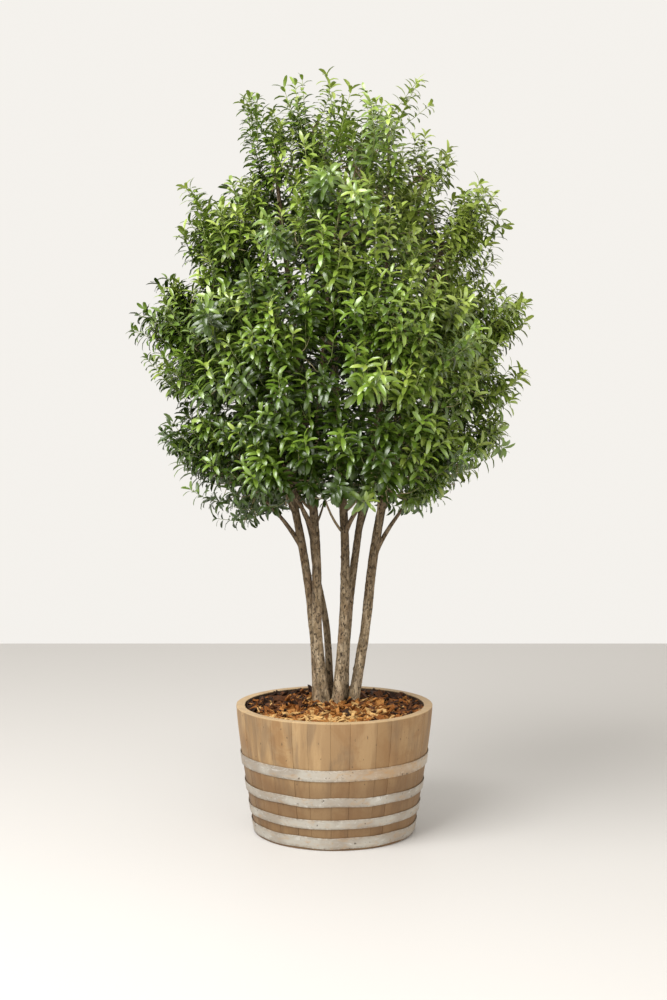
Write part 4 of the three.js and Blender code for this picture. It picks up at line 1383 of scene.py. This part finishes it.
def stave_surfaces(settings):
    """Every stave as one closed tube up the barrel. Its section is a rounded rectangle, bent to the barrel's
    circle: angle = middle + across / radius, and the staves differ in width. Its ends are rounded too: at
    e (1 - cos a) from an end the section is drawn in by e (1 - sin a)."""
    rng = np.random.default_rng(STAVE_SEED)
    edge = settings.edge
    bow = np.linspace(0, math.pi / 2, BOW_STEPS)
    rise, drawn_in = edge * (1 - np.cos(bow)), edge * (1 - np.sin(bow))
    straight = np.linspace(edge, BARREL_HEIGHT - edge, STAVE_RINGS)[1:-1]
    straight = np.append(straight, BARREL_HEIGHT - LIP)
    z = np.concatenate([rise, straight, BARREL_HEIGHT - rise[::-1]])[None, :, None]
    drawn_in = np.concatenate([drawn_in, 0 * straight, drawn_in[::-1]])[None, :, None]

    corner_x, corner_y, bow_x, bow_y = rounded_section(STAVE_FLATS)[:, ::-1]
    turns = rng.uniform(*STAVE_WIDTHS, (STAVES, 1, 1))
    turns = turns * FULL_TURN / turns.sum()
    half = barrel_radius(z) * turns / 2 - settings.seam / 2
    across = corner_x * (half - edge - drawn_in) + bow_x * edge
    through = corner_y * (WALL / 2 - edge - drawn_in) + bow_y * edge
    proud = rng.normal(0, STAVE_UNEVEN, (STAVES, 1, 1)) - STAVE_SUNK
    distance = barrel_radius(z) + proud - WALL / 2 + through
    angle = np.cumsum(turns, axis=0) - turns / 2 + across / barrel_radius(z)
    skin = polar(distance, angle, z)

    lip = np.clip((z - BARREL_HEIGHT + LIP) / (LIP - edge), 0, 1)
    # painted shade: the inner part of each stave's thickness, the barrel's inside
    inside = np.clip((INSIDE_SHADE_SHARE - (through + WALL / 2) / WALL) / INSIDE_SHADE_FADE, 0, 1) * (1 - lip)
    marks = {"tone": rng.random((STAVES, 1, 1)), "lip": lip, "inside": inside}
    for name, values in marks.items():
        values = np.broadcast_to(values, skin.shape[:3])
        ends = values[:, [0, -1]].max(axis=2)
        marks[name] = np.concatenate([values.reshape(STAVES, -1), ends], axis=1).reshape(-1)
    return capped(skin, skin.mean(axis=2)[:, [0, -1]]), marks


def board_surface(x0, x1, bore):
    """A bottom board between two values of x, as long as the bore there: y = v * sqrt(bore ** 2 - x ** 2).
    Its top and underside are drawn in a little, and closed."""
    x = lerp(x0, x1, np.linspace(0, 1, BOARD_STEPS))
    y = np.sqrt(np.maximum(bore**2 - x**2, TINY))
    ring = np.stack([np.append(x, x[::-1]), np.append(y, -y[::-1])], axis=-1)[::-1]
    middle = ring.mean(axis=0)
    small = lerp(middle, ring, BOARD_SHRINK)
    heights = HEAD_LOW, HEAD_LOW + BOARD_EDGE, HEAD_HIGH - BOARD_EDGE, HEAD_HIGH
    layers = zip((small, ring, ring, small), heights)
    skin = np.stack([np.column_stack([xy, np.full(len(xy), z)]) for xy, z in layers])
    poles = np.array([[*middle, HEAD_LOW], [*middle, HEAD_HIGH]])
    return capped(skin[None], poles[None])


def head_surfaces():
    """The bottom boards, side by side across the barrel's bore."""
    bore = float(barrel_radius(HEAD_LOW)) - WALL - SEAT_GAP
    edges = np.linspace(-bore, bore, HEAD_BOARDS + 1)
    return joined([board_surface(x0 + BOARD_GAP, x1 - BOARD_GAP, bore) for x0, x1 in zip(edges, edges[1:])])


# The hoops. Dents move a band in and out and waves move it up and down, as cosines of several counts
HOOP_STEPS, HOOP_FLATS, HOOP_SEED, HOOP_COSINES = 168, 3, 3, range(2, 12)
DENT_SIZE, WAVE_SIZE, DEEPEST_DENT = 0.00022, 0.0004, -0.0003
HOOP_LIFT = 0.0005 + HOOP_THICKNESS / 2
ROUND_EDGE = HOOP_THICKNESS * 0.45
GRIMY_EDGE = 0.005
# The second band over a hoop's ends, and the rivets that hold it
LAP_TURN, LAP_HALF, LAP_STEPS = math.radians(128), 0.055, 13
LAP_OVER, LAP_NARROWER, RIVET_SHARE = 1.9, 0.001, 0.45
RIVET_RADIUS, RIVET_HEIGHT, RIVET_SUNK, RIVET_SIDES = 0.005, 0.0028, 0.001, 14
# The stain on the upper hoop: its turn from the front, its half width in radians, and its strength
STAIN_TURN, STAIN_HALF, STAIN_MOST, STAIN_STRENGTH = 0.65, 0.8, 1.2, 0.75


def band(angles, low, width, lift, closed, dents=0.0, waves=0.0):
    """A flat band with rounded edges that lies along the barrel's side, from one angle to the last or all
    round, with how near each point is to an edge. Its middle surface is at the barrel's radius at each
    height, plus lift and dents."""
    corner_x, corner_y, bow_x, bow_y = rounded_section(HOOP_FLATS)
    upward = width / 2 + corner_x * (width / 2 - ROUND_EDGE) + bow_x * ROUND_EDGE
    outward = corner_y * (HOOP_THICKNESS / 2 - ROUND_EDGE) + bow_y * ROUND_EDGE
    height = low + upward[None] + waves
    distance = barrel_radius(height) + lift + dents + outward[None]
    skin = polar(distance, angles[:, None], height)
    rings, sides = skin.shape[:2]
    edge = np.clip(1 - np.minimum(upward, width - upward) / GRIMY_EDGE, 0, 1)
    edge = np.tile(edge, rings)
    if closed:
        return (skin.reshape(-1, 3), [skin_faces(1, rings, sides, 0, closed=True)]), edge
    return capped(skin[None], skin.mean(axis=1)[None, [0, -1]]), np.append(edge, [1, 1])


def rivet_surface(turn, z):
    """A rivet's low domed head: radius r cos a, height h sin a, set square to the barrel's side."""
    rise = np.linspace(0, math.pi / 2, BOW_STEPS)[:-1]
    dome = zip(RIVET_RADIUS * np.cos(rise), RIVET_HEIGHT * np.sin(rise))
    profile = [(0, -RIVET_SUNK), (RIVET_RADIUS, -RIVET_SUNK), *dome, (0, RIVET_HEIGHT)]
    points, faces = turned(profile, RIVET_SIDES)
    out = polar(1.0, turn, 0.0)
    around = np.cross(UP, out)
    placed = points[:, 2:] * out + points[:, :1] * around + points[:, 1:2] * UP
    return placed + out * (float(barrel_radius(z)) + HOOP_THICKNESS * LAP_OVER) + UP * z, faces


def hoop_surface(low, width, rng):
    """One hoop: a closed band, a little dented and wavy by sums of cosines. Where its two ends meet, a short
    second band laps it, held by two rivets."""
    angles = np.arange(HOOP_STEPS) * FULL_TURN / HOOP_STEPS
    dents, waves = (
        sum(rng.normal(0, size) * np.cos(k * angles + rng.random() * FULL_TURN) for k in HOOP_COSINES)
        for size in (DENT_SIZE, WAVE_SIZE)
    )
    dents = np.maximum(dents, DEEPEST_DENT)[:, None]
    hoop, edge = band(angles, low, width, HOOP_LIFT, True, dents, waves[:, None])
    lap = LAP_TURN + np.linspace(-LAP_HALF, LAP_HALF, LAP_STEPS) / RIM_RADIUS
    lap, lap_edge = band(lap, low + LAP_NARROWER, width - 2 * LAP_NARROWER, HOOP_LIFT * LAP_OVER, False)
    turns = (LAP_TURN + RIVET_SHARE * offset / RIM_RADIUS for offset in (-LAP_HALF, LAP_HALF))
    surface = joined([hoop, lap, *(rivet_surface(turn, low + width / 2) for turn in turns)])
    edge = np.concatenate([edge, lap_edge])
    return surface, np.append(edge, np.zeros(len(surface[0]) - len(edge)))


# The filling

SOIL_BELOW_CHIPS, SOIL_SEED, CHIP_SEED = 0.009, 8, 13
SOIL_SIDES, SOIL_RINGS, SOIL_FIRST = 180, 42, 0.004
# Below the top, the soil's side runs down from this height, this far inside the staves
SOIL_SIDE_TOP, SOIL_SIDE_RINGS, SOIL_SIDE_GAP = 0.40, 7, 0.001
# Two noises on the soil, each with its cells round and a cell's length, their height, and how they fade
SOIL_NOISES, SOIL_ROUGH, SOIL_FADE, SOIL_FLOOR = ((60, 0.009), (24, 0.03)), 0.006, 0.02, 0.3

# A chip's size by chance, its width and thickness as shares of its length, and how its corners differ
CHIP_CHANCE, CHIP_LIMITS = 0.34, (-1, 0.42)
CHIP_WIDTHS, CHIP_THICKNESSES, CHIP_CORNERS = (0.22, 0.55), (0.06, 0.18), (0.55, 1.3)
# Chips keep off the barrel's wall and the stems, are tipped by chance, and lie at these heights
CHIP_INSIDE, STEM_CLEARANCE = 0.42, (1.15, 0.004)
CHIP_PITCH, CHIP_ROLL, CHIP_HEIGHTS = 0.42, 0.5, (0.004, 0.020)
# Painted light and shade: pale and golden chips lie near the middle and the front, darker ones towards the
# sides and the back, with some chance
PAINTED_SHADE_ACROSS, PAINTED_SHADE_BACK, PAINTED_SHADE_CHANCE = 1.5, 1.7, 0.34
CHIP_TINTS = {
    "chips_pale": ("#cba368", 0.10),
    "chips_golden": ("#a87238", 0.18),
    "chips_orange": ("#86501f", 0.22),
    "chips_brown": ("#583419", 0.26),
    "chips_dark": ("#2e1a0c", 0.24),
}
CHIP_DARKER = 0.45
BOX_FACES = np.array([[0, 2, 3, 1], [4, 5, 7, 6], [0, 1, 5, 4], [2, 6, 7, 3], [0, 4, 6, 2], [1, 3, 7, 5]])


def soil_height(radius):
    """Height of the filling's surface at a distance from the middle."""
    return np.interp(radius, MULCH_RADII, MULCH_HEIGHTS)


def soil_surface():
    """The soil under the chips: a closed turned solid whose top follows the filling's profile, roughened by
    noise that fades at the wall."""
    rng = np.random.default_rng(SOIL_SEED)
    top = np.linspace(SOIL_FIRST, MULCH_RADII[-1], SOIL_RINGS)
    bottom = HEAD_HIGH + SEAT_GAP
    side = np.linspace(SOIL_SIDE_TOP, bottom, SOIL_SIDE_RINGS)
    radius = np.concatenate([[0], top, barrel_radius(side) - WALL - SOIL_SIDE_GAP, [0]])
    surface = soil_height(np.append(0, top)) - SOIL_BELOW_CHIPS
    profile = np.column_stack([radius, np.concatenate([surface, side, [bottom]])])[::-1]
    around = np.arange(SOIL_SIDES) / SOIL_SIDES
    along, around = np.meshgrid(profile[1:-1, 0], around, indexing="ij")
    rough = sum(smooth_noise(rng, around, along, *cells) for cells in SOIL_NOISES) - 1
    fade = np.clip((MULCH_RADII[-1] - along) / SOIL_FADE, 0, 1) * (profile[1:-1, 1:] > SOIL_FLOOR)
    return turned(profile, SOIL_SIDES, rough * SOIL_ROUGH * fade)


def chip_corners(settings):
    """Flakes of bark, with the number of each one's tint: eight corners each, drawn about by random shares
    so that none is square, tipped at random and dropped on the soil, clear of the stems and inside the
    barrel. The tints are dealt by place as painted light and shade: paler chips at the middle and front,
    darker ones at the sides and back."""
    rng = np.random.default_rng(CHIP_SEED)
    count = settings.chips
    radius = MULCH_RADII[-1] * np.sqrt(rng.random(count))
    turn = rng.random(count) * FULL_TURN
    size = settings.chip_length * np.exp(np.clip(rng.normal(0, CHIP_CHANCE, count), *CHIP_LIMITS))
    radius = np.minimum(radius, MULCH_RADII[-1] - size * CHIP_INSIDE)
    place = polar(radius, turn, 0.0)[:, :2]
    for plan in STEMS.values():
        gap = place - plan.foot
        apart = np.linalg.norm(gap, axis=1, keepdims=True)
        least = plan.radii[0] * STEM_CLEARANCE[0] + STEM_CLEARANCE[1]
        place = np.where(apart < least, plan.foot + gap / np.maximum(apart, TINY) * least, place)
    width, thickness = (size * rng.uniform(*shares, count) for shares in (CHIP_WIDTHS, CHIP_THICKNESSES))
    corners = np.array([[x, y, z] for z in (-0.5, 0.5) for y in (-0.5, 0.5) for x in (-0.5, 0.5)])
    extents = np.stack([size, width, thickness], axis=-1)
    shape = corners[None] * extents[:, None] * rng.uniform(*CHIP_CORNERS, (count, 8, 3))
    yaw = rng.random(count) * FULL_TURN
    pitch = rng.normal(0, CHIP_PITCH, count)
    roll = rng.normal(0, CHIP_ROLL, count)
    along = level_turn(yaw) * np.cos(pitch)[:, None] + UP * np.sin(pitch)[:, None]
    side = turned_about(unit(np.cross(UP, along)), along, roll)
    axes = np.stack([along, side, np.cross(along, side)], axis=1)
    z = soil_height(np.linalg.norm(place, axis=1)) - SOIL_BELOW_CHIPS + rng.uniform(*CHIP_HEIGHTS, count)
    points = shape @ axes + np.column_stack([place, z])[:, None]
    # painted shade: chips rank darker towards the sides and the back, paler where light falls at the middle
    # and front
    dull = np.abs(place[:, 0]) * PAINTED_SHADE_ACROSS + place[:, 1] * PAINTED_SHADE_BACK
    dull = dull - rng.normal(0, PAINTED_SHADE_CHANCE, count)
    shares = np.cumsum([share for _, share in CHIP_TINTS.values()])[:-1]
    return points, np.searchsorted(shares, np.argsort(np.argsort(dull)) / count)


# Operators


class OSMANTHUS_OT_barrel(bpy.types.Operator):
    """Makes the staves and the bottom boards"""

    bl_idname = "osmanthus.barrel"
    bl_label = "Barrel"

    def execute(self, context):
        settings = context.scene.osmanthus_planter
        oak = oak_material(settings)
        staves, marks = stave_surfaces(settings)
        add_piece("oak_staves", staves, oak, ["barrel_staves"], marks=marks)
        boards = head_surfaces()
        values = {"tone": 0.3, "lip": 0, "inside": 0}
        marks = {name: np.full(len(boards[0]), value) for name, value in values.items()}
        add_piece("bottom_boards", boards, oak, ["barrel_head"], smooth=False, marks=marks)
        return {"FINISHED"}


class OSMANTHUS_OT_hoops(bpy.types.Operator):
    """Makes the four hoops with their laps and rivets"""

    bl_idname = "osmanthus.hoops"
    bl_label = "Hoops"

    def execute(self, context):
        steel = steel_material(context.scene.osmanthus_planter)
        rng = np.random.default_rng(HOOP_SEED)
        for name, (low, width) in HOOPS.items():
            hoop, edge = hoop_surface(low, width, rng)
            from_front = np.arctan2(hoop[0][:, 0], -hoop[0][:, 1])
            stained = np.clip(STAIN_MOST - np.abs(from_front - STAIN_TURN) / STAIN_HALF, 0, 1)
            marks = {"edge": edge, "tone": STAIN_STRENGTH * stained * (name == "hoop_high")}
            add_piece(f"{name}_band", hoop, steel, [name], marks=marks)
        return {"FINISHED"}


class OSMANTHUS_OT_filling(bpy.types.Operator):
    """Makes the soil and the bark chips on it"""

    bl_idname = "osmanthus.filling"
    bl_label = "Soil and chips"

    def execute(self, context):
        soil = grained_material("damp_soil", "#3a2415", "#1a0f08", (90, 90, 90), 0.95, 0.004)
        add_piece("potting_soil", soil_surface(), soil, ["mulch_and_soil"])
        corners, tints = chip_corners(context.scene.osmanthus_planter)
        for number, (name, (code, _)) in enumerate(CHIP_TINTS.items()):
            chips = corners[tints == number]
            faces = BOX_FACES[None] + np.arange(len(chips))[:, None, None] * len(corners[0])
            surface = chips.reshape(-1, 3), [faces.reshape(-1, 4)]
            dark = tuple(v * CHIP_DARKER for v in srgb(code))
            material = grained_material(name, code, dark, (130, 130, 130), 0.8, 0.001)
            add_piece(name, surface, material, ["mulch_and_soil"], smooth=False)
        return {"FINISHED"}


class OSMANTHUS_OT_limbs(bpy.types.Operator):
    """Makes the six stems and the boughs with the bark's relief"""

    bl_idname = "osmanthus.limbs"
    bl_label = "Stems and boughs"

    def execute(self, context):
        settings = context.scene.osmanthus_limbs
        bark = bark_material(settings)
        for number, limb in enumerate(LIMBS):
            surface, furrow = limb_surface(limb, settings, np.random.default_rng(LIMB_SEED + number))
            marks = {"furrow": FURROW_STRENGTH * np.clip(furrow, 0, 1)}
            add_piece(f"{limb.name}_bark", surface, bark, [limb.name], marks=marks)
        return {"FINISHED"}


class OSMANTHUS_OT_twigs(bpy.types.Operator):
    """Makes the twigs, from the masses' own stems to the stems of the leafy shoots"""

    bl_idname = "osmanthus.twigs"
    bl_label = "Twigs"

    def execute(self, context):
        settings = context.scene.osmanthus_crown
        crown = grow_crown(settings, context.scene.osmanthus_stage)
        rings, sides = SPINE_SKIN
        t = np.linspace(0, 1, rings)
        paths = np.stack([spine.at(t) for spine in crown.spines])
        spines = tubes(paths, np.tile(lerp(*SPINE_RADII, t), (len(paths), 1)), sides)
        twigs = joined([spines, crown.twigs.swept(*TWIG_SKIN)])
        bark, thin, stalk = (
            grained_material("twig_bark", settings.twig_bark, "#3a3024", (120, 120, 60), 0.85, 0.0005),
            grained_material("finer_twig_bark", settings.finer_bark, "#4f4a34", (120, 120, 60), 0.8, 0.0004),
            grained_material("young_stalks", settings.young_shoot, "#5b6a33", (60, 60, 60), 0.6, 0.0003),
        )
        add_piece("twigs", twigs, bark, FOLIAGE_NODES)
        add_piece("finer_twigs", crown.finer.swept(*FINER_SKIN), thin, FOLIAGE_NODES)
        add_piece("shoot_stalks", crown.shoots.swept(*STALK_SKIN), stalk, FOLIAGE_NODES)
        return {"FINISHED"}


class OSMANTHUS_OT_leaves(bpy.types.Operator):
    """Makes the leaves, a piece for each tint"""

    bl_idname = "osmanthus.leaves"
    bl_label = "Leaves"

    def execute(self, context):
        settings = context.scene.osmanthus_crown
        crown = grow_crown(settings, context.scene.osmanthus_stage)
        points, tints = grow_leaves(crown, settings)
        for number, (tint, gloss) in enumerate(LEAF_GLOSS.items()):
            chosen = points[tints == number]
            material = leaf_material(f"leaf_{tint}", getattr(settings, tint), gloss)
            surface = chosen.reshape(-1, 3), leaf_faces(len(chosen))
            add_piece(f"leaves_{tint}", surface, material, FOLIAGE_NODES)
        return {"FINISHED"}


FLOOR_HALF = 4.2
LAMP_AIM = (0, 0, 1.5)
CAMERA_X, SENSOR_HEIGHT = -0.003, 36


class OSMANTHUS_OT_stage(bpy.types.Operator):
    """Makes the floor, the lights and the camera"""

    bl_idname = "osmanthus.stage"
    bl_label = "Stage"

    def execute(self, context):
        scene = context.scene
        settings = scene.osmanthus_stage
        scene.view_settings.view_transform = "Standard"

        corners = [(x * FLOOR_HALF, y * FLOOR_HALF, 0) for x, y in ((-1, -1), (1, -1), (1, 1), (-1, 1))]
        mesh = bpy.data.meshes.new("floor")
        mesh.from_pydata(corners, [], [(0, 1, 2, 3)])
        mesh.materials.append(Recipe("pale_floor", 0.6, specular=0.2).finish(settings.floor))
        floor = bpy.data.objects.new("floor", mesh)
        scene.collection.objects.link(floor)

        world = bpy.data.worlds.new("surround")
        world.use_nodes = True
        background = world.node_tree.nodes["Background"]
        background.inputs["Color"].default_value = (*settings.sky, 1)
        background.inputs["Strength"].default_value = settings.surround
        scene.world = world

        lights = (
            ("key_light", (-2.3, -2.7, 4.8), 3.4, settings.key),
            ("fill_light", (2.2, -4.2, 1.3), 2.6, settings.fill),
        )
        for name, place, size, power in lights:
            light = bpy.data.lights.new(name, "AREA")
            light.size = size
            light.energy = power
            lamp = bpy.data.objects.new(name, light)
            lamp.location = place
            aim = Vector(LAMP_AIM) - lamp.location
            lamp.rotation_euler = aim.to_track_quat("-Z", "Y").to_euler()
            scene.collection.objects.link(lamp)

        camera_data = bpy.data.cameras.new("camera")
        camera_data.sensor_fit = "VERTICAL"
        camera_data.sensor_height = SENSOR_HEIGHT
        camera_data.lens = settings.lens
        camera = bpy.data.objects.new("camera", camera_data)
        camera.location = (CAMERA_X, -settings.distance, settings.eye)
        camera.rotation_euler = (math.pi / 2 - settings.tilt, 0, 0)
        scene.collection.objects.link(camera)
        scene.camera = camera
        return {"FINISHED"}


PIECE_OPERATORS = (
    OSMANTHUS_OT_barrel,
    OSMANTHUS_OT_hoops,
    OSMANTHUS_OT_filling,
    OSMANTHUS_OT_limbs,
    OSMANTHUS_OT_twigs,
    OSMANTHUS_OT_leaves,
    OSMANTHUS_OT_stage,
)
SETTINGS = {
    "osmanthus_planter": PlanterSettings,
    "osmanthus_limbs": LimbSettings,
    "osmanthus_crown": CrownSettings,
    "osmanthus_stage": StageSettings,
}


class OSMANTHUS_PT_panel(bpy.types.Panel):
    """Lists the settings and the operators"""

    bl_label = "Holly osmanthus"
    bl_idname = "OSMANTHUS_PT_panel"
    bl_space_type = "VIEW_3D"
    bl_region_type = "UI"
    bl_category = "Osmanthus"

    def draw(self, context):
        for name in SETTINGS:
            box = self.layout.box()
            group = getattr(context.scene, name)
            for key in group.bl_rna.properties.keys():
                if key not in ("rna_type", "name"):
                    box.prop(group, key)
        for operator in PIECE_OPERATORS:
            self.layout.operator(operator.bl_idname)


CLASSES = (*SETTINGS.values(), *PIECE_OPERATORS, OSMANTHUS_PT_panel)


def register():
    """Makes the settings, operators and panel known to Blender."""
    for cls in CLASSES:
        bpy.utils.register_class(cls)
    for name, group in SETTINGS.items():
        setattr(bpy.types.Scene, name, PointerProperty(type=group))


def unregister():
    """Takes them away again."""
    for name in SETTINGS:
        delattr(bpy.types.Scene, name)
    for cls in reversed(CLASSES):
        bpy.utils.unregister_class(cls)


def main():
    register()
    for operator in PIECE_OPERATORS:
        group, name = operator.bl_idname.split(".")
        getattr(getattr(bpy.ops, group), name)()


if __name__ == "__main__":
    main()
